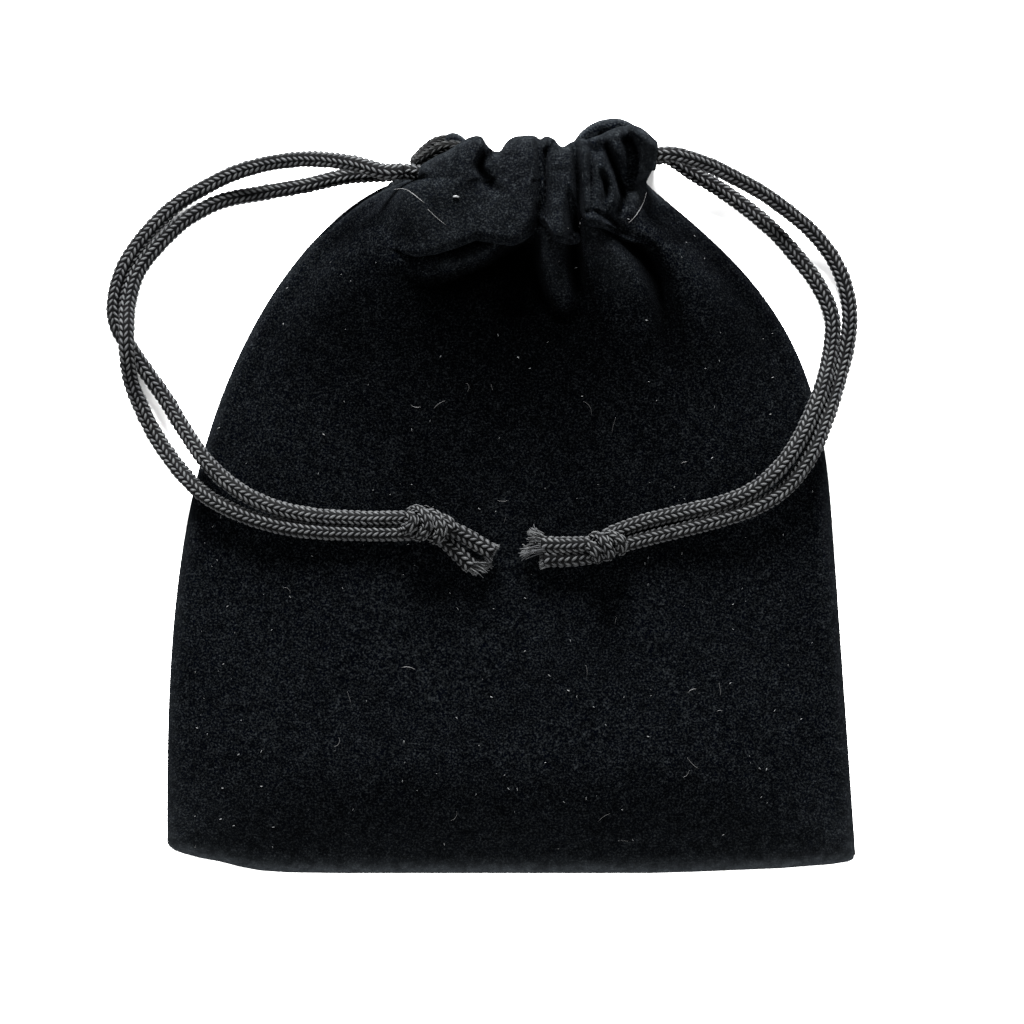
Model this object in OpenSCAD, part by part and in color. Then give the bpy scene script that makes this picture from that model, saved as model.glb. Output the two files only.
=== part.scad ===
/* Drawstring dice bag: a flat velvet pouch lying on its back, mouth drawn in by two cords.
   Origin under the middle of the bag, +Z up, the mouth towards +Y. */

/* [Bag] */
// Width along the bottom edge
bag_w = 100; // [80:1:140]
// Length from the bottom edge to the stitch line of the casing
body_l = 92; // [80:1:130]
// Thickness of one layer of velvet
cloth = 0.9; // [0.6:0.1:1.2]
// Width of the seam allowance folded inside
seam_w = 3.5; // [2:0.5:6]
// Thickness of the pressed seam allowance
seam_t = 1; // [0.6:0.1:1.6]
// Rise of the front panel over the seams, in the middle of the bag
body_loft = 4.6; // [4:0.1:8]
// Rounding of the bottom left corner
corner_drop = 3; // [0:0.5:5]

/* [Casing] */
// Length of the hem folded over the cords
casing_l = 14.4; // [13:0.1:18]
// Width of the mouth, drawn in
mouth_w = 36; // [32:1:48]
// How far the mouth sits to the right of the middle
mouth_x = 1.4; // [-3:0.1:3]
// Clear height of the mouth between the two casings
mouth_gap = 5; // [4.6:0.1:8]
// Number of pleats across the front casing
pleats = 6; // [4:1:8]
// Height of a pleat
pleat_h = 1.3; // [0.5:0.1:2]
// How much higher the right lobe of the back casing stands
back_lobe = 3; // [1:0.5:4]

/* [Drawcords] */
// Diameter of the knitted cord
cord_d = 1.9; // [1.5:0.1:2.2]
// Clearance round a cord in its tunnel
cord_fit = 0.35; // [0.3:0.05:0.6]
// Distance between the two cords in a tunnel
cord_pitch = 2.4; // [2.4:0.1:3]

/* [Thread] */
// Diameter of the sewing thread
thread_d = 0.4; // [0.3:0.05:0.5]
// Stitches in each row
stitches = 19; // [10:1:24]

/* [Hidden] */

velvet = "#0c0e14";
velvet_back = "#08090d";
cord_grey = "#3a3c40";
thread_black = "#15151a";

// Lengths, from the bottom edge up to the back lobe
bottom_y = -(body_l + casing_l + back_lobe) / 2;
stitch_y = bottom_y + body_l;
fold_y = stitch_y + casing_l;
side_rise = 8.1;                   // from the stitch line up to where the cords come out
side_top_y = stitch_y + side_rise;
corner_rise = 4.7;                 // from the bottom up to where the left side leaves its corner
corner_y = bottom_y + corner_rise;
taper_rise = 44.7;                 // from the bottom up to where the right side starts to curve in
taper_y = bottom_y + taper_rise;
right_taper = 7;                   // how much the right side leans in over its whole length
mouth_left = mouth_x - mouth_w / 2;
mouth_right = mouth_x + mouth_w / 2;

// Heights
seam_top = cloth + seam_t;
tunnel_h = cord_d + 2 * cord_fit;
back_top = 2 * cloth + tunnel_h;
front_low = back_top + mouth_gap;
throat_loft = front_low - seam_top;
back_cord_z = cloth + tunnel_h / 2;
front_cord_z = front_low + cloth + tunnel_h / 2;

// The tunnels, and the two cords in each
tunnel_rise = 2.4;                 // from the stitch line up to the low side of a tunnel
tunnel_low_y = stitch_y + tunnel_rise;
fold_nose = 0.6;                   // how far the folded edge rounds out past its two layers
scallop = 0.5;                     // how far the folded edge dips between two pleats
tunnel_nose = 0.3;                 // the same rounding inside the tunnel
tunnel_top_y = fold_y - scallop - cloth - tunnel_nose;
right_cord_y = tunnel_top_y - cord_d / 2;
left_cord_y = right_cord_y - cord_pitch;
setback = 5;                       // the inner layer of a casing stops short of its ends
left_lobe = 9;                     // how far the left end of a casing slants in
right_lobe = 1.6;                  // how far the right end of a casing bulges out

function clamp01(v) = max(0, min(1, v));
function mix(a, b, v) = a + (b - a) * v;
function ease(v) = let (c = clamp01(v)) c * c * (3 - 2 * c);
function dome(v) = sin(90 * clamp01(v));

// Side edges: straight, then a shoulder that falls in to the mouth, then the end of the casing
function shoulder(y, start_y, p, q) =
    pow(max(0, 1 - pow(clamp01((y - start_y) / (side_top_y - start_y)), p)), q);
function left_x(y) =
    mix(mouth_left, -bag_w / 2, shoulder(y, corner_y, 2.9, 0.7))
    + left_lobe * pow(max(0, (y - side_top_y) / (fold_y - side_top_y)), 2);
function right_x(y) =
    mix(mouth_right, bag_w / 2 - right_taper * (y - bottom_y) / (side_top_y - bottom_y),
        shoulder(y, taper_y, 3.6, 1.14))
    + right_lobe * sin(180 * clamp01((y - side_top_y) / (fold_y + back_lobe - side_top_y)));
function across(u, y) = mix(left_x(y), right_x(y), (u + 1) / 2);

// Bottom edge: it rises at the left corner, where the cloth is turned round its seam
function bottom_edge(u) = bottom_y + corner_drop * pow(max(0, -(u + 0.55) / 0.45), 1.4);

// Height of the hollow inside the bag over the seams, from the nearest edge inwards
foot_slope = 22;                   // how far up the panel rises from the bottom seam
function hollow(x, y) =
    let (half = (right_x(y) - left_x(y)) / 2,
         side = min(x - left_x(y), right_x(y) - x) - seam_w,
         foot = y - bottom_y - seam_w,
         loft = mix(body_loft, throat_loft, ease((y - bottom_y) / body_l * 2 - 1)))
    loft * dome(side / (0.5 * half)) * dome(foot / foot_slope);

// Pleats: wide at the left, tight at the right, as the cords pull them
function pleat(u) = 0.5 - 0.5 * cos(360 * pleats * pow((u + 1) / 2, 1.6));

panel_cols = 26;
panel_rows = 22;
casing_cols = 40;
casing_steps = 8;
fold_reach = 26;                   // how far the pleats run down the panel below the casing

function panel_y(u, v) = mix(bottom_edge(u), stitch_y, v);
function fold_fade(y) = pow(clamp01(1 - (stitch_y - y) / fold_reach), 2);
function panel_low(u, y) = seam_top + hollow(across(u, y), y);
function panel_top(u, y) =
    panel_low(u, y) + cloth + 0.8 * pleat_h * pleat(u) * fold_fade(y) * dome((1 - abs(u)) * 4);

// Front casing: it stands on the front panel's top edge and comes clear of the seams at its ends
function casing_low(u, y) =
    let (edge = mix(seam_top, front_low, ease((y - stitch_y - 0.7) / (side_top_y - stitch_y - 0.9))),
         middle = panel_low(u, stitch_y))
    mix(max(edge, middle), front_low, ease((y - stitch_y) / (side_top_y - stitch_y)));
function tunnel_clear(y) = tunnel_h * ease((y - tunnel_low_y + 1) / 4.6);

function quad(a, b, c, d) = [[a, b, c], [a, c, d]];
function flat_list(groups) = [for (g = groups) each g];

// A closed solid between two grids of points, each rows by cols
module between_grids(top, bottom, rows, cols) {
    count = rows * cols;
    polyhedron(
        points = concat(top, bottom),
        faces = flat_list(concat(
            [for (r = [0 : rows - 2], c = [0 : cols - 2])
                let (a = r * cols + c) quad(a, a + cols, a + cols + 1, a + 1)],
            [for (r = [0 : rows - 2], c = [0 : cols - 2])
                let (a = count + r * cols + c) quad(a, a + 1, a + cols + 1, a + cols)],
            [for (c = [0 : cols - 2]) quad(c, c + 1, count + c + 1, count + c)],
            [for (c = [0 : cols - 2])
                let (a = (rows - 1) * cols + c) quad(a, count + a, count + a + 1, a + 1)],
            [for (r = [0 : rows - 2])
                let (a = r * cols) quad(a, count + a, count + a + cols, a + cols)],
            [for (r = [0 : rows - 2])
                let (a = r * cols + cols - 1) quad(a, a + cols, count + a + cols, count + a)]
        ))
    );
}

// A closed sleeve: rings of an outer skin, rings of a tunnel through it, and its two ends
module sleeve(outer, tunnel, rings, per) {
    count = rings * per;
    polyhedron(
        points = concat(outer, tunnel),
        faces = flat_list(concat(
            [for (r = [0 : rings - 2], k = [0 : per - 1])
                let (a = r * per + k, b = r * per + (k + 1) % per)
                quad(a, b, b + per, a + per)],
            [for (r = [0 : rings - 2], k = [0 : per - 1])
                let (a = count + r * per + k, b = count + r * per + (k + 1) % per)
                quad(a, a + per, b + per, b)],
            [for (k = [0 : per - 1])
                let (b = (k + 1) % per) quad(k, count + k, count + b, b)],
            [for (k = [0 : per - 1])
                let (last = (rings - 1) * per, a = last + k, b = last + (k + 1) % per)
                quad(a, b, count + b, count + a)]
        ))
    );
}

// A cord: an eight-sided tube swept along its own route
sides = 8;
function direction(route, i) =
    let (a = route[max(0, i - 1)], b = route[min(len(route) - 1, i + 1)]) (b - a) / norm(b - a);
function cord_ring(centre, along, r, level) =
    let (out = cross(along, level) / norm(cross(along, level)), up = cross(out, along))
    [for (k = [0 : sides - 1])
        let (turn = 360 * (k + 0.5) / sides) centre + r * (cos(turn) * out + sin(turn) * up)];

module tube(route, radii, level = [0, 0, 1]) {
    last = len(route) - 1;
    points = [for (i = [0 : last]) each cord_ring(route[i], direction(route, i), radii[i], level)];
    polyhedron(
        points = points,
        faces = flat_list(concat(
            [for (i = [0 : last - 1], k = [0 : sides - 1])
                let (a = i * sides + k, b = i * sides + (k + 1) % sides)
                quad(a, b, b + sides, a + sides)],
            [[[for (k = [0 : sides - 1]) sides - 1 - k]]],
            [[[for (k = [0 : sides - 1]) last * sides + k]]]
        ))
    );
}

function even(route, d) = [for (p = route) d / 2];

module strand(route) {
    color(cord_grey) tube(route, even(route, cord_d));
}

// The routes of the four free strands, from the casing to the knots
left_front_route = [
    [-15.6, left_cord_y, front_cord_z], [-18.5, left_cord_y, front_cord_z], [-23, 47.9, 9.8],
    [-28.5, 48.6, 7.2], [-34, 48.3, 4.8], [-39.5, 47, 2.8], [-44, 45, 1.6], [-49, 42, 1.1],
    [-53.4, 37.6, 1.1], [-56.4, 33, 1.1], [-57.7, 28, 1.1], [-57.2, 24.5, 1.1], [-55.4, 21.5, 1.1],
    [-53, 18, 1.1], [-50.2, 14, 1.5], [-47.4, 9.5, 3.2], [-44.4, 5.2, 5.2], [-40.6, 1.6, 7],
    [-35.6, -1.2, 8.2], [-29.5, -2.8, 8.7], [-22, -3.3, 8.9], [-15.2, -3.3, 9.4]
];
left_back_route = [
    [-15.6, left_cord_y, back_cord_z], [-18.5, left_cord_y, back_cord_z], [-24, 46.3, 2],
    [-30, 45, 1.6], [-36.5, 43.9, 1.1], [-42, 42.8, 1.1], [-47, 40.3, 1.1], [-50.8, 36.9, 1.1],
    [-54.2, 32.6, 1.1], [-55.6, 28, 1.9], [-55.8, 24, 3.2], [-55.7, 20.5, 3.2], [-55.2, 16.5, 1.8],
    [-53.6, 12.5, 1.1], [-51.6, 8.6, 1.2], [-48.8, 4.6, 2.4], [-45, 0.6, 4.8], [-40.6, -2, 6.8],
    [-35.4, -3.9, 8.1], [-29.5, -5, 8.7], [-22, -5.4, 8.9], [-15.2, -5.4, 9.4]
];
right_front_route = [
    [20.9, right_cord_y, front_cord_z], [23.5, right_cord_y, front_cord_z],
    [28, 47.8, 9.2], [32, 46, 6.8], [36.2, 43.8, 4.6], [40, 41.2, 2.7], [43.6, 38.2, 1.5],
    [46.6, 34.4, 1.1], [48.4, 30.2, 1.1], [49, 25.6, 1.1], [48.3, 20.6, 1.1], [47, 15.8, 2.2],
    [45.4, 11, 4.2], [43.2, 6, 5.8], [40, 1.6, 7], [35.6, -1.4, 8.2], [30, -3.4, 8.7],
    [24.4, -4.9, 8.9], [19.6, -6.1, 8.9], [15.3, -7.3, 9.4]
];
right_back_route = [
    [20.9, right_cord_y, back_cord_z], [22.8, right_cord_y, back_cord_z], [26, 46.9, 1.9],
    [30, 44.6, 1.3], [34, 41.8, 1.1], [38, 38.4, 1.1], [41.4, 34.6, 1.1], [44.4, 30.6, 1.1],
    [46.4, 26, 1.1], [46.2, 21.2, 1.6], [45, 16.2, 3.4], [43.2, 11.6, 5.2], [40.8, 7, 6.8],
    [37.8, 3.2, 8], [34, 0.4, 8.6], [29.4, -1.3, 8.8], [24.4, -2.4, 8.9], [19.4, -3.6, 8.9],
    [14.8, -5.2, 9.4]
];
left_front_tail_route = [[-9.6, -4.4, 9.6], [-7.4, -5.2, 9.4], [-5, -6.6, 9.2], [-2.6, -8.2, 9.2]];
left_back_tail_route = [[-10.4, -6.6, 9.6], [-8.4, -8, 9.4], [-6, -9.8, 9.2], [-3.4, -10.8, 9.2]];
right_front_tail_route = [[10.4, -6.9, 9.6], [8, -6.7, 9.4], [5.4, -6.6, 9.2], [2.6, -6.6, 9.2]];
right_back_tail_route = [[10.4, -9, 9.6], [8, -9.1, 9.4], [5.8, -9, 9.2], [3.6, -9.2, 9.2]];

// A cord's end: it frays, so it grows towards its tip
module tail(route) {
    color(cord_grey) tube(route, [for (i = [0 : len(route) - 1]) cord_d / 2 * (1 + 0.12 * i)]);
}

// One overhand knot over both strands: a core, and three wraps that lean over it
left_knot_at = [-12.4, -4.5, 10.6];
right_knot_at = [12.8, -7.1, 10.6];
module knot(centre, heading, size) {
    color(cord_grey)
        translate(centre)
            rotate([0, 0, heading]) {
                rotate([0, 90, 0])
                    cylinder(d = 1.6 * cord_d, h = size * 0.8, center = true, $fn = 24);
                for (lean = [-1, 0, 1])
                    translate([lean * size * 0.27, 0, 0])
                        rotate([0, 90, 18 * lean])
                            rotate_extrude($fn = 24)
                                translate([0.97 * cord_d, 0])
                                    circle(d = cord_d, $fn = 16);
            }
}

// The cord inside its tunnels: two straight runs, as long as the cord can still be pulled
module cord_runs(cord_y, from_x, to_x) {
    color(cord_grey)
        for (z = [front_cord_z, back_cord_z])
            translate([min(from_x, to_x), cord_y, z])
                rotate([0, 90, 0])
                    cylinder(d = cord_d, h = abs(to_x - from_x), $fn = 24);
}

// Where a cord turns back round the far end of the mouth, from the front tunnel to the back one
bight_r = 2.6;
bight_steps = 5;
bight_end_gap = 0.6;               // from a bight to the end of the casing
module cord_bight(cord_y, turn_x, side, start_x) {
    corner = [for (i = [0 : bight_steps]) 90 * i / bight_steps];
    route = concat(
        [[start_x, cord_y, front_cord_z]],
        [for (a = corner)
            [turn_x + side * bight_r * sin(a), cord_y, front_cord_z - bight_r * (1 - cos(a))]],
        [for (a = corner)
            [turn_x + side * bight_r * cos(a), cord_y, back_cord_z + bight_r * (1 - sin(a))]],
        [[start_x, cord_y, back_cord_z]]
    );
    color(cord_grey) tube(route, even(route, cord_d), [0, 1, 0]);
}

left_exit_x = left_front_route[0][0];
right_exit_x = right_front_route[0][0];
turn_reach = bight_r + cord_d / 2;
left_turn_x = left_x(right_cord_y) + setback - turn_reach;
right_turn_x = right_x(left_cord_y) - turn_reach - bight_end_gap;
bight_lead = 2;                    // straight cord before a bight starts to turn
end_gap = 0.3;

// Outline of the bag seen from above, up to the casing
outline_steps = 24;
bottom_steps = 12;
function side_ys(u) =
    [for (i = [0 : outline_steps]) mix(bottom_edge(u), stitch_y, i / outline_steps)];
function left_side(inset) = [for (y = side_ys(-1)) [left_x(y) + inset, y]];
function right_side(inset) = [for (y = side_ys(1)) [right_x(y) - inset, y]];
function bottom_side(rise) =
    [for (i = [0 : bottom_steps])
        let (u = 2 * i / bottom_steps - 1, y = bottom_edge(u)) [across(u, y), y + rise]];
function reversed(list) = [for (i = [len(list) - 1 : -1 : 0]) list[i]];
function inner(list) = [for (i = [1 : len(list) - 2]) list[i]];

module front_panel() {
    us = [for (c = [0 : panel_cols - 1])
        let (w = 2 * c / (panel_cols - 1) - 1) sign(w) * (1 - pow(1 - abs(w), 1.25))];
    vs = [for (r = [0 : panel_rows - 1]) let (w = r / (panel_rows - 1)) mix(w, ease(w), 0.5)];
    color(velvet)
        between_grids(
            [for (v = vs, u = us) let (y = panel_y(u, v)) [across(u, y), y, panel_top(u, y)]],
            [for (v = vs, u = us) let (y = panel_y(u, v)) [across(u, y), y, panel_low(u, y)]],
            panel_rows, panel_cols
        );
}

module back_panel() {
    color(velvet_back)
        linear_extrude(cloth)
            polygon(concat(bottom_side(0), inner(right_side(0)),
                           [[right_x(stitch_y), stitch_y], [left_x(stitch_y), stitch_y]],
                           reversed(inner(left_side(0)))));
}

// The raw edges of both panels, sewn together and folded inside the bag
module side_seam(outer_edge, inner_edge) {
    color(velvet_back)
        translate([0, 0, cloth])
            linear_extrude(seam_t)
                polygon(concat(outer_edge, reversed(inner_edge)));
}

function above_foot(list) = [for (p = list) if (p[1] > bottom_y + corner_drop + seam_w) p];
module left_side_seam() {
    side_seam(above_foot(left_side(0)), above_foot(left_side(seam_w)));
}
module right_side_seam() {
    side_seam(above_foot(right_side(0)), above_foot(right_side(seam_w)));
}
module bottom_seam() {
    side_seam(bottom_side(0), bottom_side(seam_w));
}

// The ring of a casing at u: along its low side, round its fold and back along its high side
function fold_lift(u, lobe) =
    lobe * exp(-pow((u - 0.72) / 0.3, 2)) - scallop * (1 - pleat(u)) * (1 - abs(u));
function layer_u(u, layer) = u * (1 - layer * setback * 2 / mouth_w);
function casing_ring(u, low, high, lobe, layer_low, layer_high) =
    let (top_y = fold_y - fold_nose + fold_lift(u, lobe))
    concat(
        [for (i = [0 : casing_steps - 1])
            let (y = mix(stitch_y, top_y, i / (casing_steps - 1)))
            [across(layer_u(u, layer_low), y), y, low(layer_u(u, layer_low), y)]],
        [let (y = top_y + fold_nose) [across(u, y), y, (low(u, top_y) + high(u, top_y)) / 2]],
        [for (i = [casing_steps - 1 : -1 : 0])
            let (y = mix(stitch_y, top_y, i / (casing_steps - 1)))
            [across(layer_u(u, layer_high), y), y, high(layer_u(u, layer_high), y)]]
    );
function tunnel_ring(u, low, layer_low, layer_high) =
    concat(
        [for (i = [0 : casing_steps - 1])
            let (y = mix(tunnel_low_y, tunnel_top_y, i / (casing_steps - 1)))
            [across(layer_u(u, layer_low), y), y, low(layer_u(u, layer_low), y) + cloth]],
        [let (y = tunnel_top_y + tunnel_nose)
            [across(u, y), y, low(u, tunnel_top_y) + cloth + tunnel_h / 2]],
        [for (i = [casing_steps - 1 : -1 : 0])
            let (y = mix(tunnel_low_y, tunnel_top_y, i / (casing_steps - 1)))
            [across(layer_u(u, layer_high), y), y,
             low(layer_u(u, layer_high), y) + cloth + tunnel_clear(y)]]
    );
casing_us = [for (c = [0 : casing_cols - 1]) 2 * c / (casing_cols - 1) - 1];
ring_points = 2 * casing_steps + 1;

function front_casing_high(u, y) =
    casing_low(u, y) + 2 * cloth + tunnel_clear(y)
    + pleat_h * pleat(u) * dome((y - stitch_y + 3) / 8) * dome((1 - abs(u)) * 6);
module front_casing() {
    low = function (u, y) casing_low(u, y);
    high = function (u, y) front_casing_high(u, y);
    color(velvet)
        sleeve(
            [for (u = casing_us) each reversed(casing_ring(u, low, high, back_lobe * 0.55, 1, 0))],
            [for (u = casing_us) each reversed(tunnel_ring(u, low, 1, 0))],
            casing_cols, ring_points
        );
}

module back_casing() {
    low = function (u, y) 0;
    high = function (u, y) 2 * cloth + tunnel_clear(y);
    color(velvet_back)
        sleeve(
            [for (u = casing_us) each reversed(casing_ring(u, low, high, back_lobe, 0, 1))],
            [for (u = casing_us) each reversed(tunnel_ring(u, low, 0, 1))],
            casing_cols, ring_points
        );
}

// A row of stitches lying along the foot of a casing
stitch_rise = 1.1;                 // from the foot of the casing up to the row
stitch_row_y = stitch_y + stitch_rise;
stitch_share = 0.45;               // of the row, the rest is the gaps between stitches
flat_lift = 0.3;                   // of a stitch over the back casing
pleat_lift = 0.7;                  // of a stitch over the front casing, clear of its pleats
module stitch_row(reach, height) {
    pitch = 2 * reach / stitches;
    length = (right_x(stitch_row_y) - left_x(stitch_row_y)) / 2 * pitch * stitch_share;
    color(thread_black)
        for (i = [0 : stitches - 1])
            let (u = -reach + pitch * (i + 0.5),
                 rise = height(u + pitch / 4) - height(u - pitch / 4),
                 slope = atan2(rise, length / stitch_share / 2))
            translate([across(u, stitch_row_y), stitch_row_y, height(u) + thread_d / 2])
                rotate([0, 90 - slope, 0])
                    cylinder(d = thread_d, h = length, center = true, $fn = 16);
}
module front_casing_stitches() {
    stitch_row(0.82, function (u) front_casing_high(u, stitch_row_y) + pleat_lift);
}
module back_casing_stitches() {
    stitch_row(0.7, function (u) 2 * cloth + tunnel_clear(stitch_row_y) + flat_lift);
}

module left_cord_bight() {
    cord_bight(left_cord_y, right_turn_x, 1, right_turn_x - bight_lead);
}
module left_cord_runs() {
    cord_runs(left_cord_y, left_exit_x, right_turn_x - bight_lead - end_gap);
}
module left_front_strand() { strand(left_front_route); }
module left_back_strand() { strand(left_back_route); }
module left_knot() { knot(left_knot_at, -16, 8.4); }
module left_front_tail() { tail(left_front_tail_route); }
module left_back_tail() { tail(left_back_tail_route); }

module right_cord_bight() {
    cord_bight(right_cord_y, left_turn_x, -1, left_turn_x + bight_lead);
}
module right_cord_runs() {
    cord_runs(right_cord_y, right_exit_x, left_turn_x + bight_lead + end_gap);
}
module right_front_strand() { strand(right_front_route); }
module right_back_strand() { strand(right_back_route); }
module right_knot() { knot(right_knot_at, 15, 6.8); }
module right_front_tail() { tail(right_front_tail_route); }
module right_back_tail() { tail(right_back_tail_route); }

front_panel();
back_panel();
left_side_seam();
right_side_seam();
bottom_seam();
front_casing();
back_casing();
front_casing_stitches();
back_casing_stitches();
left_cord_bight();
left_cord_runs();
left_front_strand();
left_back_strand();
left_knot();
left_front_tail();
left_back_tail();
right_cord_bight();
right_cord_runs();
right_front_strand();
right_back_strand();
right_knot();
right_front_tail();
right_back_tail();
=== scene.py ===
import math
import bpy
import numpy as np
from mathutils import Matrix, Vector, noise
from mathutils.bvhtree import BVHTree


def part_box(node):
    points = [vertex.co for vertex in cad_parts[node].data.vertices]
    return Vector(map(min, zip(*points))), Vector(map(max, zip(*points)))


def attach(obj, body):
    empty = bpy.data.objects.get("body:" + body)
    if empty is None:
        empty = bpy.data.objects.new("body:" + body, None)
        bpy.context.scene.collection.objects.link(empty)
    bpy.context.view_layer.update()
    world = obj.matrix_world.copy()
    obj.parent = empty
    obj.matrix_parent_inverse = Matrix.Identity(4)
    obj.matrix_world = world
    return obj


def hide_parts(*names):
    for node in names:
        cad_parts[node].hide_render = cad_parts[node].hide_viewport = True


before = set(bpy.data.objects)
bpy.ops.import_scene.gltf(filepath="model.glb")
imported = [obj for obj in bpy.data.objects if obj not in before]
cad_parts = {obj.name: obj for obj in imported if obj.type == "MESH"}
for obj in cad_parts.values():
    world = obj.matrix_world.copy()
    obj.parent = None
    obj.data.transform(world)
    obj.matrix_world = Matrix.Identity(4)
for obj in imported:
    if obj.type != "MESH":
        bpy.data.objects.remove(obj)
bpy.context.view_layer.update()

mm = 0.001
scene = bpy.context.scene
bpy.ops.object.select_all(action="DESELECT")

# Where things show in the picture, in its own pixels
imagePoints = {
    "bagLeft": 167, "bagRight": 857, "bagTop": 119, "bagBottom": 873,
    "leftKnot": (427, 525), "rightKnot": (604, 548),
    "lintLong": (425, 205), "lintSpeck": (456, 197), "lintRight": (638, 208),
}


# Camera: straight above the bag, as far back as a product shot
cameraSet = {"height": 1.2, "sensor": 36.0, "frame": 1024, "outlineHeight": 2.0 * mm}


def bagBox():
    corners = [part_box(n) for n in ("front_panel", "back_panel", "front_casing", "back_casing")]
    low = Vector([min(c[0][i] for c in corners) for i in range(3)])
    high = Vector([max(c[1][i] for c in corners) for i in range(3)])
    return low, high


def makeCamera():
    low, high = bagBox()
    half = cameraSet["frame"] / 2
    pixelsPerMetre = (imagePoints["bagRight"] - imagePoints["bagLeft"]) / (high.x - low.x)
    reach = cameraSet["height"] - cameraSet["outlineHeight"]
    data = bpy.data.cameras.new("camera")
    data.sensor_fit = "AUTO"
    data.sensor_width = cameraSet["sensor"]
    data.lens = pixelsPerMetre * reach * cameraSet["sensor"] / cameraSet["frame"]
    data.clip_start, data.clip_end = 0.05, 20
    cam = bpy.data.objects.new("camera", data)
    scene.collection.objects.link(cam)
    middleX = (imagePoints["bagLeft"] + imagePoints["bagRight"]) / 2 - half
    middleY = half - (imagePoints["bagTop"] + imagePoints["bagBottom"]) / 2
    cam.location = ((low.x + high.x) / 2 - middleX / pixelsPerMetre,
                    (low.y + high.y) / 2 - middleY / pixelsPerMetre,
                    cameraSet["height"])
    scene.camera = cam
    return cam


camera = makeCamera()
print("camera: lens", round(camera.data.lens, 1))


# Node helpers for the materials
def newMaterial(name):
    material = bpy.data.materials.new(name)
    material.use_nodes = True
    tree = material.node_tree
    return material, tree, tree.nodes["Principled BSDF"]


# Inputs are numbers or other nodes' outputs
def setInputs(tree, node, inputs):
    for name, value in inputs.items():
        if isinstance(value, bpy.types.NodeSocket):
            tree.links.new(value, node.inputs[name])
        else:
            node.inputs[name].default_value = value


def addNode(tree, kind, inputs=None, **settings):
    node = tree.nodes.new("ShaderNode" + kind)
    for name, value in settings.items():
        setattr(node, name, value)
    setInputs(tree, node, inputs or {})
    return node


def noiseNode(tree, scale, detail=3.0, rough=0.55, vector=None):
    if vector is None:
        vector = addNode(tree, "TexCoord").outputs["Object"]
    node = addNode(tree, "TexNoise", {"Scale": scale, "Detail": detail, "Roughness": rough, "Vector": vector})
    return node.outputs["Fac"]


def rampNode(tree, source, places, colours):
    node = addNode(tree, "ValToRGB", {"Fac": source})
    ramp = node.color_ramp
    while len(ramp.elements) < len(places):
        ramp.elements.new(0.5)
    for element, place, colour in zip(ramp.elements, places, colours):
        element.position = place
        element.color = (*colour, 1)
    return node.outputs["Color"]


def mixColour(tree, kind, first, second):
    node = addNode(tree, "Mix", data_type="RGBA", blend_type=kind)
    setInputs(tree, node, {"Factor": 1.0, "A": first, "B": second})
    return node.outputs["Result"]


def mathNode(tree, kind, first, second):
    return addNode(tree, "Math", {0: first, 1: second}, operation=kind).outputs[0]


def addBump(tree, shader, height, distance):
    node = addNode(tree, "Bump", {"Distance": distance, "Strength": 1.0, "Height": height})
    tree.links.new(node.outputs["Normal"], shader.inputs["Normal"])


def grey(value):
    return (value, value, value)


def toned(colour, tone):
    return tuple(c * tone for c in colour)


# Velvet: near black, blue in its depth, with a painted highlight on the edges where the pile turns away
velvetSet = {
    "deep": (0.00002, 0.00009, 0.00036), "mid": (0.00032, 0.00038, 0.00046), "lit": (0.0022, 0.0026, 0.0029),
    "stops": (0.38, 0.52, 0.68), "speck": (0.0023, 0.0026, 0.0028), "speckStops": (0.56, 0.8),
    "paintedSheen": (0.00082, 0.00093, 0.00102), "tuftScale": 3900, "speckScale": 3400,
    "blotchScale": 700, "blotchStops": (0.34, 0.66), "blotchRange": (0.66, 1.3),
    "layScale": 130, "layStretch": (1.0, 0.45, 1.0), "layStops": (0.3, 0.7), "layShade": (0.72, 0.72, 0.74),
    "rough": 0.92, "sheen": 0.0015, "sheenRough": 0.5, "sheenTint": (0.68, 0.76, 0.9), "bump": 0.12 * mm,
}


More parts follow.
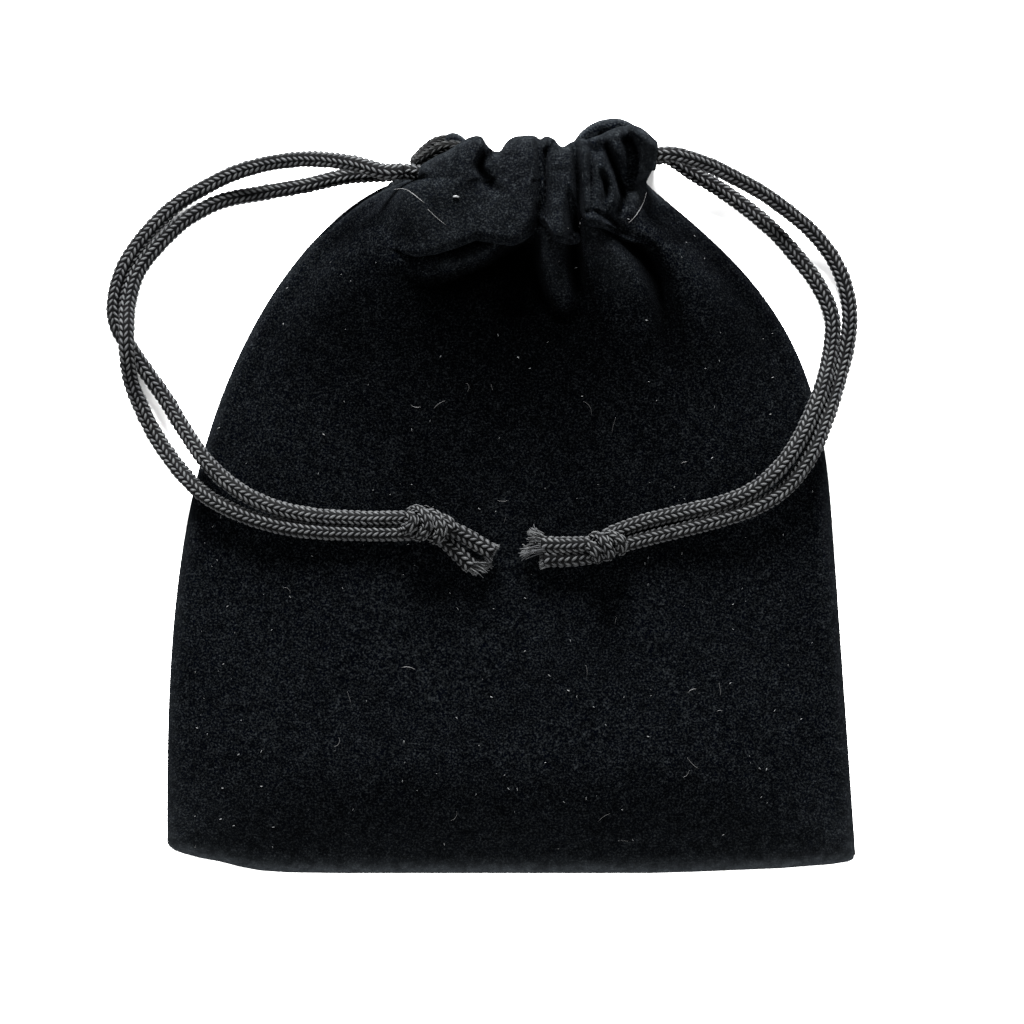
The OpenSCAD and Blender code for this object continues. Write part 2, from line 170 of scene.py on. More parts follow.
def makeVelvet(name, tone=1.0, lightPainted=False):
    material, tree, shader = newMaterial(name)
    coords = addNode(tree, "TexCoord").outputs["Object"]
    mapping = addNode(tree, "Mapping", {"Scale": velvetSet["layStretch"], "Vector": coords})
    tufts = noiseNode(tree, velvetSet["tuftScale"], 2.0, 0.6, coords)
    lay = noiseNode(tree, velvetSet["layScale"], 4.0, 0.55, mapping.outputs["Vector"])
    shades = [toned(velvetSet[key], tone) for key in ("deep", "mid", "lit")]
    grain = rampNode(tree, tufts, velvetSet["stops"], shades)
    brushed = rampNode(tree, lay, velvetSet["layStops"], (velvetSet["layShade"], grey(1)))
    colour = mixColour(tree, "MULTIPLY", grain, brushed)
    flecks = noiseNode(tree, velvetSet["speckScale"], 0.0, 0.5, coords)
    bright = rampNode(tree, flecks, velvetSet["speckStops"], (grey(0), toned(velvetSet["speck"], tone)))
    colour = mixColour(tree, "ADD", colour, bright)
    blotch = noiseNode(tree, velvetSet["blotchScale"], 2.0, 0.6, coords)
    uneven = rampNode(tree, blotch, velvetSet["blotchStops"], [grey(v) for v in velvetSet["blotchRange"]])
    colour = mixColour(tree, "MULTIPLY", colour, uneven)
    if lightPainted:             # up to 1 the attribute darkens the grain as painted shade, past 1 it lays a pale painted highlight over it
        paintedLight = addNode(tree, "Attribute", attribute_name="paintedLight").outputs["Fac"]
        paintedShade = mathNode(tree, "MINIMUM", paintedLight, 1.0)
        turned = mathNode(tree, "MAXIMUM", mathNode(tree, "SUBTRACT", paintedLight, 1.0), 0.0)
        colour = mixColour(tree, "MULTIPLY", colour, paintedShade)
        # the painted highlight's colour
        paintedSheen = tree.nodes.new("ShaderNodeRGB").outputs[0]
        paintedSheen.default_value = (*toned(velvetSet["paintedSheen"], tone), 1)
        paler = mixColour(tree, "MULTIPLY", mixColour(tree, "MULTIPLY", paintedSheen, turned), uneven)
        colour = mixColour(tree, "ADD", colour, paler)
    setInputs(tree, shader, {
        "Base Color": colour, "Roughness": velvetSet["rough"], "Specular IOR Level": 0.0,
        "Sheen Weight": velvetSet["sheen"], "Sheen Roughness": velvetSet["sheenRough"],
        "Sheen Tint": (*velvetSet["sheenTint"], 1)})
    addBump(tree, shader, tufts, velvetSet["bump"])
    return material


# Knitted cord yarn: dark grey, with painted shade in the gaps and a painted highlight on the crown of each
# stitch
yarnSet = {
    "gap": (0.0008, 0.00084, 0.0009), "body": (0.0095, 0.0098, 0.0102), "crown": (0.0285, 0.0295, 0.0302),
    "stops": (0.1, 0.5, 0.94), "fibreScale": (5.0, 26.0, 1.0), "fibreStops": (0.3, 0.65),
    "fibreShades": ((0.45, 0.45, 0.46), (1.15, 1.15, 1.15)), "wornScale": 420, "wornStops": (0.3, 0.7),
    "wornShades": ((0.72, 0.72, 0.74), (1.1, 1.1, 1.08)), "rough": 0.7, "specular": 0.01,
    "sheen": 0.001, "sheenRough": 0.5, "bump": 0.05 * mm,
}


def makeYarn(name, tone=1.0):
    material, tree, shader = newMaterial(name)
    # the attribute holds the place along the stitch, round it, and its depth
    yarn = addNode(tree, "Attribute", attribute_name="yarn").outputs["Vector"]
    parts = addNode(tree, "SeparateXYZ", {"Vector": yarn})
    mapping = addNode(tree, "Mapping", {"Scale": yarnSet["fibreScale"], "Vector": yarn})
    fibres = noiseNode(tree, 1.0, 2.0, 0.6, mapping.outputs["Vector"])
    shades = [yarnSet[key] for key in ("gap", "body", "crown")]
    # painted shade and highlight by depth: near black in the gaps, pale on the crowns
    depth = rampNode(tree, parts.outputs["Z"], yarnSet["stops"], shades)
    strands = rampNode(tree, fibres, yarnSet["fibreStops"], yarnSet["fibreShades"])
    blotch = noiseNode(tree, yarnSet["wornScale"], 2.0)
    # random wear, scaled by the tone, which for the yarn inside the casings is painted shade
    wearAndShade = rampNode(tree, blotch, yarnSet["wornStops"], [toned(c, tone) for c in yarnSet["wornShades"]])
    colour = mixColour(tree, "MULTIPLY", mixColour(tree, "MULTIPLY", depth, strands), wearAndShade)
    setInputs(tree, shader, {
        "Base Color": colour, "Roughness": yarnSet["rough"], "Specular IOR Level": yarnSet["specular"],
        "Sheen Weight": yarnSet["sheen"], "Sheen Roughness": yarnSet["sheenRough"]})
    addBump(tree, shader, fibres, yarnSet["bump"])
    return material


# the back is a paler copy of the velvet as painted light, the inside a darker copy as painted shade
velvetBack = makeVelvet("velvet_back", 1.5, lightPainted=True)
velvetPaintedLight = makeVelvet("velvet_front", lightPainted=True)
velvetInside = makeVelvet("velvet_inside", 0.6)
yarnGrey = makeYarn("cord_yarn")
# the yarn of the cords inside the casings: a darker copy as painted shade
yarnShaded = makeYarn("cord_yarn_inside", 0.3)


# A mesh from points and faces
def newPiece(name, points, faces, material, smooth=True):
    mesh = bpy.data.meshes.new(name)
    mesh.from_pydata(np.asarray(points, float).tolist(), [], faces)
    mesh.validate()
    mesh.update()
    piece = bpy.data.objects.new(name, mesh)
    scene.collection.objects.link(piece)
    mesh.materials.append(material)
    if smooth:
        mesh.polygons.foreach_set("use_smooth", [True] * len(mesh.polygons))
    return piece


def setVector(mesh, name, values):
    layer = mesh.attributes.new(name, "FLOAT_VECTOR", "POINT")
    layer.data.foreach_set("vector", np.asarray(values, np.float32).ravel())


def ringPoints(centre, side, up, size, corners):
    angles = [2 * math.pi * m / corners for m in range(corners)]
    return [centre + size * (math.cos(a) * side + math.sin(a) * up) for a in angles]


# Faces of a closed tube whose rings of corners follow each other from the start
def tubeFaces(start, rings, corners):
    last = start + (rings - 1) * corners
    faces = []
    for a in range(start, last, corners):
        b = a + corners
        faces += [(a + m, a + (m + 1) % corners, b + (m + 1) % corners, b + m) for m in range(corners)]
    faces.append(tuple(start + m for m in reversed(range(corners))))
    faces.append(tuple(last + m for m in range(corners)))
    return faces


# Small shaping functions
def clamp01(v):
    return np.clip(v, 0, 1)


def mixed(a, b, share):
    return a + (b - a) * share


def eased(v):
    c = clamp01(v)
    return c * c * (3 - 2 * c)


def dome(v):
    return np.sin(np.pi / 2 * clamp01(v))


# 0 before the span's start, 1 once its run is over
def easedOver(v, span):
    return eased((v - span[0]) / span[1])


# Even shares of a way whose beginning is laid already, up to 1
def sharesTo(count):
    return np.linspace(0, 1, count + 1)[1:]


# Cords: knitted tubes on the routes that part.scad gives, here in metres
cordSet = {
    "diameter": 1.9 * mm, "wide": 1.32, "narrow": 1.22, "narrowing": 20 * mm, "columns": 4, "pitch": 0.9 * mm,
    "legLong": 1.2, "legStart": 0.06, "legSpread": 0.42, "legWide": 0.185 * mm, "legHigh": 0.18 * mm,
    "legTip": 0.4, "rings": 5, "sides": 6, "core": 0.8 * mm, "coreSides": 14, "dip": 0.09 * mm,
    "jitter": 0.08, "jitterLift": 0.25, "jitterAlong": 0.3, "jitterRound": 0.15, "shades": 40,
}
exitLeft = {"front": (-15.6, 46.65, 11.6), "back": (-15.6, 46.65, 2.2)}
exitRight = {"front": (20.9, 49.05, 11.6), "back": (20.9, 49.05, 2.2)}
routes = {
    "left_front": [
        exitLeft["front"], (-18.5, 46.65, 11.6), (-23, 47.9, 9.8), (-28.5, 48.6, 7.2), (-34, 48.3, 4.8),
        (-39.5, 47, 2.8), (-44, 45, 1.6), (-49, 42, 1.1), (-53.4, 37.6, 1.1), (-56.4, 33, 1.1),
        (-57.7, 28, 1.1), (-57.2, 24.5, 1.1), (-55.4, 21.5, 1.1), (-53, 18, 1.1), (-50.2, 14, 1.5),
        (-47.4, 9.5, 3.2), (-44.4, 5.2, 5.2), (-40.6, 1.6, 7), (-35.6, -1.2, 8.2), (-29.5, -2.8, 8.7),
        (-22, -3.3, 8.9), (-15.2, -3.3, 9.4)],
    "left_back": [
        exitLeft["back"], (-18.5, 46.65, 2.2), (-24, 46.3, 2), (-30, 45, 1.6), (-36.5, 43.9, 1.1),
        (-42, 42.8, 1.1), (-47, 40.3, 1.1), (-50.8, 36.9, 1.1), (-54.2, 32.6, 1.1), (-55.6, 28, 1.9),
        (-55.8, 24, 3.2), (-55.7, 20.5, 3.2), (-55.2, 16.5, 1.8), (-53.6, 12.5, 1.1), (-51.6, 8.6, 1.2),
        (-48.8, 4.6, 2.4), (-45, 0.6, 4.8), (-40.6, -2, 6.8), (-35.4, -3.9, 8.1), (-29.5, -5, 8.7),
        (-22, -5.4, 8.9), (-15.2, -5.4, 9.4)],
    "right_front": [
        exitRight["front"], (23.5, 49.05, 11.6), (28, 47.8, 9.2), (32, 46, 6.8), (36.2, 43.8, 4.6),
        (40, 41.2, 2.7), (43.6, 38.2, 1.5), (46.6, 34.4, 1.1), (48.4, 30.2, 1.1), (49, 25.6, 1.1),
        (48.3, 20.6, 1.1), (47, 15.8, 2.2), (45.4, 11, 4.2), (43.2, 6, 5.8), (40, 1.6, 7),
        (35.6, -1.4, 8.2), (30, -3.4, 8.7), (24.4, -4.9, 8.9), (19.6, -6.1, 8.9), (15.3, -7.3, 9.4)],
    "right_back": [
        exitRight["back"], (22.8, 49.05, 2.2), (26, 46.9, 1.9), (30, 44.6, 1.3), (34, 41.8, 1.1),
        (38, 38.4, 1.1), (41.4, 34.6, 1.1), (44.4, 30.6, 1.1), (46.4, 26, 1.1), (46.2, 21.2, 1.6),
        (45, 16.2, 3.4), (43.2, 11.6, 5.2), (40.8, 7, 6.8), (37.8, 3.2, 8), (34, 0.4, 8.6),
        (29.4, -1.3, 8.8), (24.4, -2.4, 8.9), (19.4, -3.6, 8.9), (14.8, -5.2, 9.4)],
}
# Where each strand ends inside its knot
tucks = {"left_front": (-13.9, -3.8, 9.9), "left_back": (-13.9, -5.0, 9.8),
         "right_front": (14.2, -7.5, 9.8), "right_back": (13.6, -5.9, 9.9)}
tailRoutes = {
    "left_front": [(-9.6, -4.4, 9.8), (-7.4, -5.4, 9.6), (-5, -6.8, 9.4), (-2.8, -8.2, 9.2)],
    "left_back": [(-10.2, -6.0, 9.4), (-8.6, -7.4, 9.3), (-7.1, -8.9, 9.2), (-5.9, -10.2, 9.1)],
    "right_front": [(11.4, -7.0, 10.0), (8.4, -7.1, 9.6), (6.2, -7.1, 9.4), (4.2, -7.0, 9.3)],
    "right_back": [(11.6, -8.7, 9.6), (8.4, -9, 9.2), (6.4, -9, 9.1), (4.5, -9.1, 9.1)],
}


# Points at even steps on a smooth curve through the route
def smoothRoute(points, step, finer=20):
    p = np.array(points, float)
    p = np.vstack([2 * p[0] - p[1], p, 2 * p[-1] - p[-2]])
    fine = []
    for i in range(1, len(p) - 2):
        a, b, c, d = p[i - 1:i + 3]
        fine += [0.5 * (2 * b + (c - a) * t + (2 * a - 5 * b + 4 * c - d) * t * t
                        + (3 * b - a - 3 * c + d) * t ** 3) for t in np.linspace(0, 1, finer, endpoint=False)]
    fine = np.array(fine + [p[-2]])
    along = np.concatenate([[0], np.cumsum(np.linalg.norm(np.diff(fine, axis=0), axis=1))])
    count = max(4, int(round(along[-1] / step)) + 1)
    even = np.linspace(0, along[-1], count)
    return np.column_stack([np.interp(even, along, fine[:, k]) for k in range(3)]), even


def alongFrames(line, turn, startUp=(0, 0, 1)):
    ahead = np.gradient(line, axis=0)
    ahead /= np.linalg.norm(ahead, axis=1)[:, None]
    up = np.array(startUp, float)
    ups = []
    for t in ahead:                        # carried along without spin
        up = up - t * (up @ t)
        up /= np.linalg.norm(up)
        ups.append(up)
    ups = np.array(ups)
    side = np.cross(ahead, ups)
    c, s = np.cos(turn)[:, None], np.sin(turn)[:, None]
    return ahead, ups * c + side * s, side * c - ups * s


def widened(points, level, extra):
    return points + level * extra[..., None] * (points * level).sum(-1, keepdims=True)


# A knitted tube: columns of V stitches, two legs each, round a core painted near black as shade,
# which lies wider than it is high, and is drawn narrow at its far end
def knitMesh(route, seed, turnStart=0.0, turnEnd=0.0, swell=0.0, reverse=False, startUp=(0, 0, 1),
             wide=1.0, narrow=1.0):
    draws = np.random.default_rng(seed)
    pitch = cordSet["pitch"]
    line, along = smoothRoute([tuple(c * mm for c in p) for p in route], pitch / 3)
    length = along[-1]
    width = mixed(narrow, wide, eased((length - along) / cordSet["narrowing"]))
    turn = np.interp(along, [0, length], [turnStart, turnEnd])
    ahead, up, side = alongFrames(line, turn, startUp)
    level = np.cross(ahead, (0, 0, 1))
    level /= np.maximum(np.linalg.norm(level, axis=1), 1e-9)[:, None]

    def at(s, table):
        return np.stack([np.interp(s, along, table[:, k]) for k in range(3)], axis=-1)

    # every corner of every ring of every leg at once
    rows = max(2, int(length / pitch))
    columns, rings, sides = cordSet["columns"], cordSet["rings"], cordSet["sides"]
    radius = cordSet["diameter"] / 2
    row, column, leg, ring, corner = np.meshgrid(
        np.arange(rows), np.arange(columns), np.array([-1, 1]), np.arange(rings), np.arange(sides),
        indexing="ij")
    shape = (rows, columns, 2, 1, 1)
    wobble = draws.normal(0, cordSet["jitter"], shape)
    lift = draws.normal(0, cordSet["jitterLift"] * cordSet["jitter"], shape)
    share = ring / (rings - 1)
    direction = -1 if reverse else 1
    middle = (row + 0.5) * length / rows
    legRun = direction * (share - 0.5) * cordSet["legLong"] * pitch
    s = np.clip(middle + legRun + wobble * cordSet["jitterAlong"] * pitch, 0, length)
    columnAngle = 2 * math.pi / columns
    theta = column * columnAngle + leg * columnAngle * (cordSet["legStart"] + cordSet["legSpread"] * share)
    theta = theta + wobble * cordSet["jitterRound"]
    swelling = 1 + swell * s / length
    bulge = np.sin(math.pi * share)
    centreR = (radius - cordSet["legHigh"] - cordSet["dip"] * (1 - bulge ** 0.7) + lift * mm) * swelling
    legSize = cordSet["legTip"] + (1 - cordSet["legTip"]) * bulge ** 0.6
    tilt = math.atan2(cordSet["legSpread"] * columnAngle * radius, cordSet["legLong"] * pitch)
    roundAngle = 2 * math.pi * corner / sides
    outward = np.sin(roundAngle) * cordSet["legHigh"] * legSize * swelling
    sideways = np.cos(roundAngle) * cordSet["legWide"] * legSize * swelling
    s = np.clip(s - direction * leg * sideways * math.sin(tilt), 0, length)
    theta = theta + sideways * math.cos(tilt) / radius
    r = centreR + outward
    away = r[..., None] * (np.cos(theta)[..., None] * at(s, up) + np.sin(theta)[..., None] * at(s, side))
    points = (at(s, line) + widened(away, at(s, level), np.interp(s, along, width) - 1)).reshape(-1, 3)
    # how far out each corner stands: the yarn paints shade by it in the gaps and a highlight on the crowns
    depth = np.clip((r / swelling - 0.5 * radius) / (0.5 * radius), 0, 1) * (0.5 + 0.5 * bulge ** 0.7)
    tone = draws.uniform(0, cordSet["shades"], shape) + 0 * share
    yarn = np.stack([share + tone, corner / sides + tone, depth], axis=-1).reshape(-1, 3)
    faces = []
    for start in range(0, len(points), rings * sides):
        faces += tubeFaces(start, rings, sides)

    angles = 2 * math.pi * np.arange(cordSet["coreSides"]) / cordSet["coreSides"]
    grow = (1 + swell * along / length)[:, None, None]
    core = cordSet["core"] * grow * (np.cos(angles)[None, :, None] * up[:, None, :]
                                     + np.sin(angles)[None, :, None] * side[:, None, :])
    core = line[:, None, :] + widened(core, level[:, None, :], (width - 1)[:, None])
    faces += tubeFaces(len(points), len(line), cordSet["coreSides"])
    points = np.vstack([points, core.reshape(-1, 3)])
    # the core's depth of 0 gives it the gaps' painted shade
    yarn = np.vstack([yarn, np.zeros((core.size // 3, 3))])
    return points, faces, yarn, line


def outwardFaces(piece):
    bpy.ops.object.select_all(action="DESELECT")
    piece.select_set(True)
    bpy.context.view_layer.objects.active = piece
    bpy.ops.object.mode_set(mode="EDIT")
    bpy.ops.mesh.select_all(action="SELECT")
    bpy.ops.mesh.normals_make_consistent(inside=False)
    bpy.ops.object.mode_set(mode="OBJECT")
    piece.select_set(False)


def knitPiece(name, route, seed, material=yarnGrey, **shape):
    points, faces, yarn, line = knitMesh(route, seed, **shape)
    piece = newPiece(name, points, faces, material)
    setVector(piece.data, "yarn", yarn)
    outwardFaces(piece)
    return piece, line


strandTurns = {"left_front": (0.3, 1.1), "left_back": (0.2, -0.8), "right_front": (0.1, 0.9),
               "right_back": (-0.2, -1.0)}


def makeStrands():
    made = {}
    for i, (name, route) in enumerate(routes.items()):
        turnStart, turnEnd = strandTurns[name]
        piece, line = knitPiece(
            name + "_cord", route + [tucks[name]], 11 + i, turnStart=turnStart, turnEnd=turnEnd,
            reverse=name.endswith("front"), wide=cordSet["wide"], narrow=cordSet["narrow"])
        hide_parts(name + "_strand")
        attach(piece, name.split("_")[0] + "_cord")
        made[name] = (piece, line)
    return made


strands = makeStrands()
print("cords: four strands")


# The bag's outline, as part.scad draws it, in millimetres
panelLow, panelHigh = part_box("front_panel")
bottomY, stitchY = panelLow.y / mm, panelHigh.y / mm
halfWidth = (panelHigh.x - panelLow.x) / 2 / mm
outline = {
    "sideTop": stitchY + 8.1, "mouthLeft": -16.6, "mouthRight": 19.4, "cornerRise": 4.7, "taperRise": 44.7,
    "taper": 7.0, "leftLobe": 9.0, "lobeMost": 14, "rightLobe": 1.6, "rightRun": 9.3, "foldRun": 6.3,
}
hollowSet = {"loft": 4.6, "throat": 7.5, "seam": 3.5, "sideShare": 0.5, "footReach": 15}


def shoulder(y, start, p, q):
    share = clamp01((y - start) / (outline["sideTop"] - start))
    return np.maximum(0, 1 - share ** p) ** q


def leftEdge(y):
    edge = mixed(outline["mouthLeft"], -halfWidth, shoulder(y, bottomY + outline["cornerRise"], 2.9, 0.7))
    lobe = outline["leftLobe"] * np.maximum(0, (y - outline["sideTop"]) / outline["foldRun"]) ** 2
    return edge + np.minimum(lobe, outline["lobeMost"])


def rightEdge(y):
    lean = halfWidth - outline["taper"] * (y - bottomY) / (outline["sideTop"] - bottomY)
    edge = mixed(outline["mouthRight"], lean, shoulder(y, bottomY + outline["taperRise"], 3.6, 1.14))
    up = clamp01((y - outline["sideTop"]) / outline["rightRun"])
    return edge + outline["rightLobe"] * np.sin(np.pi * up)


def across(u, y):
    return mixed(leftEdge(y), rightEdge(y), (u + 1) / 2)


def lineValue(x, points):
    return np.interp(x, [p[0] for p in points], [p[1] for p in points])


bottomLine = [(-1, 4.4), (-0.994, 3.9), (-0.978, 3.3), (-0.956, 2.9), (-0.906, 2.2), (-0.848, 1.7),
              (-0.778, 0.8), (-0.724, 0.35), (-0.65, 0.1), (-0.5, 0), (0.4, 0), (0.54, 0.2), (0.776, 0.7),
              (0.93, 1.3), (0.98, 1.7), (0.996, 2.2), (1, 2.8)]


def bottomEdge(u):
    return bottomY + lineValue(u, bottomLine)


def hollow(x, y):
    half = (rightEdge(y) - leftEdge(y)) / 2
    side = np.minimum(x - leftEdge(y), rightEdge(y) - x) - hollowSet["seam"]
    foot = y - bottomY - hollowSet["seam"]
    rise = mixed(hollowSet["loft"], hollowSet["throat"], eased((y - bottomY) / (stitchY - bottomY) * 2 - 1))
    return rise * dome(side / (hollowSet["sideShare"] * half)) * dome(foot / hollowSet["footReach"])


# Folds: strokes laid over the cloth, each a kind, a line, its reaches and heights along the line,
# and the half width of its flat middle
def alongStroke(values, count):
    return np.interp(np.linspace(0, 1, count), np.linspace(0, 1, len(values)), values)


def strokeShape(kind, d):
    if kind == "slot":         # two round folds that meet
        return -(1 - clamp01(d)) ** 2.0
    if kind == "tube":         # a fold that stands up with steep sides
        return (1 - clamp01(d) ** 2.6) ** 0.6
    return (1 - clamp01(d) ** 2) ** 2


def strokeHeights(x, y, strokes):
    total = np.zeros_like(x)
    deepest = np.zeros_like(x)
    for kind, line, reach, height, *flat in strokes:
        flat = flat[0] if flat else 0
        line = np.array(line, float)
        reach, height = alongStroke(reach, len(line)), alongStroke(height, len(line))
        best = np.full_like(x, 1e9)
        value = np.zeros_like(x)
        for k in range(len(line) - 1):
            run = line[k + 1] - line[k]
            share = clamp01(((x - line[k][0]) * run[0] + (y - line[k][1]) * run[1]) / (run @ run))
            away = np.hypot(x - line[k][0] - share * run[0], y - line[k][1] - share * run[1])
            near = away < best
            wide = mixed(reach[k], reach[k + 1], share)
            d = (away - flat) / (wide - flat)
            shape = strokeShape(kind, d) * mixed(height[k], height[k + 1], share)
            value = np.where(near, shape, value)
            best = np.where(near, away, best)
        if kind == "slot":
            deepest = np.minimum(deepest, value)
        else:
            total += value
    return total + deepest


casingFolds = [
    ("swell", [(-23, 38), (-14, 43), (-7, 49)], [6, 6.5], [0.3, 0.8]),
    ("slot", [(-2.3, 50.5), (-3.5, 49.1), (-4.2, 48.2), (-4.5, 47.2), (-4.2, 46.2), (-3.7, 45),
     (-2.8, 44), (-1.6, 43.3)], [1.3, 1.6, 1.3], [3.2, 3.2, 0.5], 0.3),
    ("swell", [(0.8, 51.5), (0.7, 46), (-0.2, 40), (-1, 37)], [4.2], [0.5, 0.9, 0.9]),
    ("slot", [(3.7, 52.2), (3.9, 48.5), (4.1, 45.5), (4.1, 42), (3.7, 39.6), (2.8, 37.8)],
     [0.8, 1.2, 1.4], [1.2, 2.2, 3.2]),
    ("slot", [(6.4, 51.6), (5.6, 50.4), (4.9, 49.2), (4.7, 47.4), (4.8, 44), (4.6, 40.4)],
     [0.8, 1.3, 1.3], [2.6, 2.6, 2.9]),
    ("slot", [(6.2, 51.4), (7.2, 50.6), (8.2, 50.9)], [1.0], [1.6]),
    ("swell", [(6.6, 46.2), (6.5, 43.4)], [1.5], [-0.7]),
    ("slot", [(9.0, 51.0), (9.3, 47), (9.6, 44.2), (9.6, 41), (9.6, 38.8)], [1.0, 1.25, 1.3],
     [1.2, 2.6, 3.6, 3.6], 0.3),
    ("slot", [(11.3, 48.8), (11.4, 45), (11.4, 40.6)], [0.75], [1.6, 2.4, 1.8]),
    ("slot", [(12.9, 46.4), (13.4, 44.8), (13.5, 43.2), (13.2, 41.2)], [0.6, 0.8, 0.7], [0.8, 3.0, 1.2],
     0.15),
    ("slot", [(12.6, 51.0), (13.3, 50.4), (14.4, 47.8), (15.4, 45.6), (15.9, 43), (15.4, 40.6)],
     [0.9, 1.1, 1.0], [2.6, 3.4, 2.4], 0.25),
    ("swell", [(11.1, 50.6), (12.2, 49.8)], [1.4], [-2.4]),
    ("slot", [(16.7, 51.0), (17.2, 49.4), (17.4, 47.6), (17.3, 46.2), (16.9, 44.4)], [1.2, 1.7, 1.5],
     [3.0, 3.6, 3.6, 0.8], 0.7),
    ("swell", [(20.1, 50.6), (19.9, 48), (19.2, 45.4), (18.0, 41)], [1.8, 2.2], [0.9, 1.5, 0.8]),
    ("swell", [(12.9, 52.0), (15, 52.7), (17, 53.0), (18.6, 52.2), (19.8, 50.6)], [1.3, 1.5], [0.5, 0.9]),
    ("swell", [(15.2, 50.2), (15.8, 48.1), (16.1, 45.8)], [0.7], [0.5, 0.7]),
    ("swell", [(12.6, 47.2), (13.9, 45.9), (14.8, 44.3), (14.9, 42)], [0.8], [0.4, 0.7]),
    ("swell", [(10.4, 50.6), (10.5, 46), (10.6, 40.6)], [0.8], [0.5]),
    ("swell", [(7.2, 48.6), (7.2, 44), (7.4, 38)], [2.2], [0.9, 1.0]),
    ("slot", [(10.0, 40.4), (11.8, 40.6), (13.4, 39.9), (14.8, 39.2)], [1.2], [1.2, 1.6]),
]
bodyFolds = [
    ("swell", [(-19, 34.4), (-12, 33.0), (-6.2, 34.0), (-1.1, 35.9), (2.5, 37.6)], [2.6, 2.4],
     [0.3, 1.7, 1.5]),
    ("slot", [(-16, 31), (-12.5, 30.2), (-8, 30.8), (-3.3, 33.0), (1.6, 36.2)], [1.4, 2.6, 2.6],
     [0.1, 1.8, 2.4]),
    ("swell", [(0.6, 34.2), (1.4, 29)], [4.6, 5.2], [-2.6, -1.4]),
    ("tube", [(5.9, 38.4), (5.7, 34.1), (6.1, 31), (7.0, 28.2)], [2.2, 2.2, 1.9], [1.8, 2.4, 1.0]),
    ("slot", [(8.9, 38.4), (8.9, 35), (9.3, 31.5), (10.2, 27.5)], [1.9, 1.7], [3.8, 3.0, 0.4], 0.4),
    ("swell", [(3.2, 37), (3.2, 33), (4.3, 29), (6.6, 26), (9.4, 26)], [1.8], [-1.6, -1.4, -0.7]),
    ("tube", [(11.6, 39.0), (13.2, 35.2), (15.0, 31), (17.4, 25)], [2.6, 3.4, 4.4], [2.2, 1.7, 0.3]),
    ("slot", [(14.2, 38.4), (16.8, 36.4), (19.2, 34.4), (21.0, 30.8), (22.0, 25.5), (22.4, 19)],
     [2.4, 3.2, 4.2], [3.2, 3.4, 2.6, 0.6], 0.3),
    ("swell", [(20, 38.4), (24.2, 36), (26.6, 31), (27.6, 23)], [4.2, 5], [1.2, 1.2, 0.3]),
    ("swell", [(-27, 34), (-35, 25)], [9], [0.8, 0.3]),
]


# The front cloth: panel, rolled lip, casing, folded edge and the layer turned in.
# A pair named for a change over y, x or u is its start and its run.
frontSet = {
    "columns": 212, "bodyRows": 140, "casingRows": 48, "foldRows": 10, "innerRows": 16, "lipRows": 12,
    "crowdColumns": 1.06, "crowdRows": 1.3, "thickness": 0.85, "smooth": 2, "floor": 2.8,
    "edgeRound": 1.7, "edgeDrop": 1.35, "puff": 1.15, "puffReach": 7.0, "puffFade": 0.6, "puffFades": (8, 14),
    "innerReach": 9, "throatLift": 2.8, "throatFrom": -8, "throatRun": 45, "throatCurve": 1.5,
    "drape": 0.28, "drapeSize": 24.0, "rumple": 0.3, "rumpleSize": 4.5,
    "foldTop": 15.0, "foldFall": 1.1, "lipRise": 3.3, "lipHang": 1.3, "lipFull": 2.4, "lipLeast": 0.7,
    "lipSpread": 1.8, "foldEnds": 9, "overCords": 11.75, "overEnds": 5, "overSharp": 4,
    "overFrom": (-1.9, 2.4), "endLift": 1.6, "leftInset": 0.75, "insetRun": 0.2, "insetFrom": (36, 3),
    "nose": 1.5, "noseFall": 0.8, "innerDrop": 6.2, "innerLeast": 2.4, "innerMost": 7.9, "innerGap": 2.2,
    "innerUnder": 0.6, "innerEnd": 1.2, "innerNarrow": 0.12,
}
# Where the casing stands, at the lip's height and at the side seams' top: each side's start and run in u
windowSet = {"left": ((-0.64, 0.3), (-1.04, 0.34)), "right": ((0.68, -0.22), (1.03, -0.2)),
             "ends": (-0.4, 1.9)}
# Painted light and shade: how much paler or darker each place of the velvet is painted
paintedLightSet = {
    "rim": 1.0, "rimReach": 1.3, "leftRim": 1.4, "leftEnd": -0.8, "leftRun": 0.2, "leftUp": (8, 18),
    "foot": 0.6, "footReach": 9, "hem": 2.4, "hemReach": 1.9, "most": 2.5,
    "shoulder": 0.6, "shoulderUp": (10, 16), "shoulderOut": (17, 8), "casing": 1.42,
    "slot": 0.9, "slotFull": 3.0,
    "end": 0.75, "endOut": (16.4, 1.2), "endUp": (40.5, 3), "endDown": (51.5, -2.5),
    "crest": 0.7, "crestReach": 1.3, "upper": 0.33, "upperUp": (-10, 35), "throatOut": (16, 14),
    "hollow": 0.66, "hollowAt": (0, 27), "hollowReach": (19, 17),
    "fold": 1.5, "foldFull": 1.3, "sunkFull": 2.4,
    "inside": 0.45, "insideRun": 6, "backRim": 2.4, "backRimReach": 0.7,
}
foldEdge = [(-18.6, 44.9), (-17.9, 45.1), (-16, 46.2), (-12.7, 47.8), (-10.9, 48.9), (-9.3, 49.6),
            (-7.6, 50.7), (-6.3, 51.5), (-5.2, 51.8), (-4.3, 51.7), (-3.5, 50.4), (-2.9, 49.8),
            (-2.5, 49.5), (-1.7, 49.5), (-1.4, 49.9), (-1.1, 50.6), (-0.4, 51.3), (0.5, 51.7), (2.6, 51.9),
            (3.6, 51.7), (4.0, 51.2), (4.6, 51.7), (5.3, 51.8), (6.1, 51.3), (6.7, 50.4), (7.3, 50.1),
            (8.4, 50.9), (9.8, 51.5), (10.4, 51.2), (11.4, 51.6), (12.8, 52.2), (15, 53.1), (16.8, 53.5),
            (18, 52.9), (19.4, 51.0)]
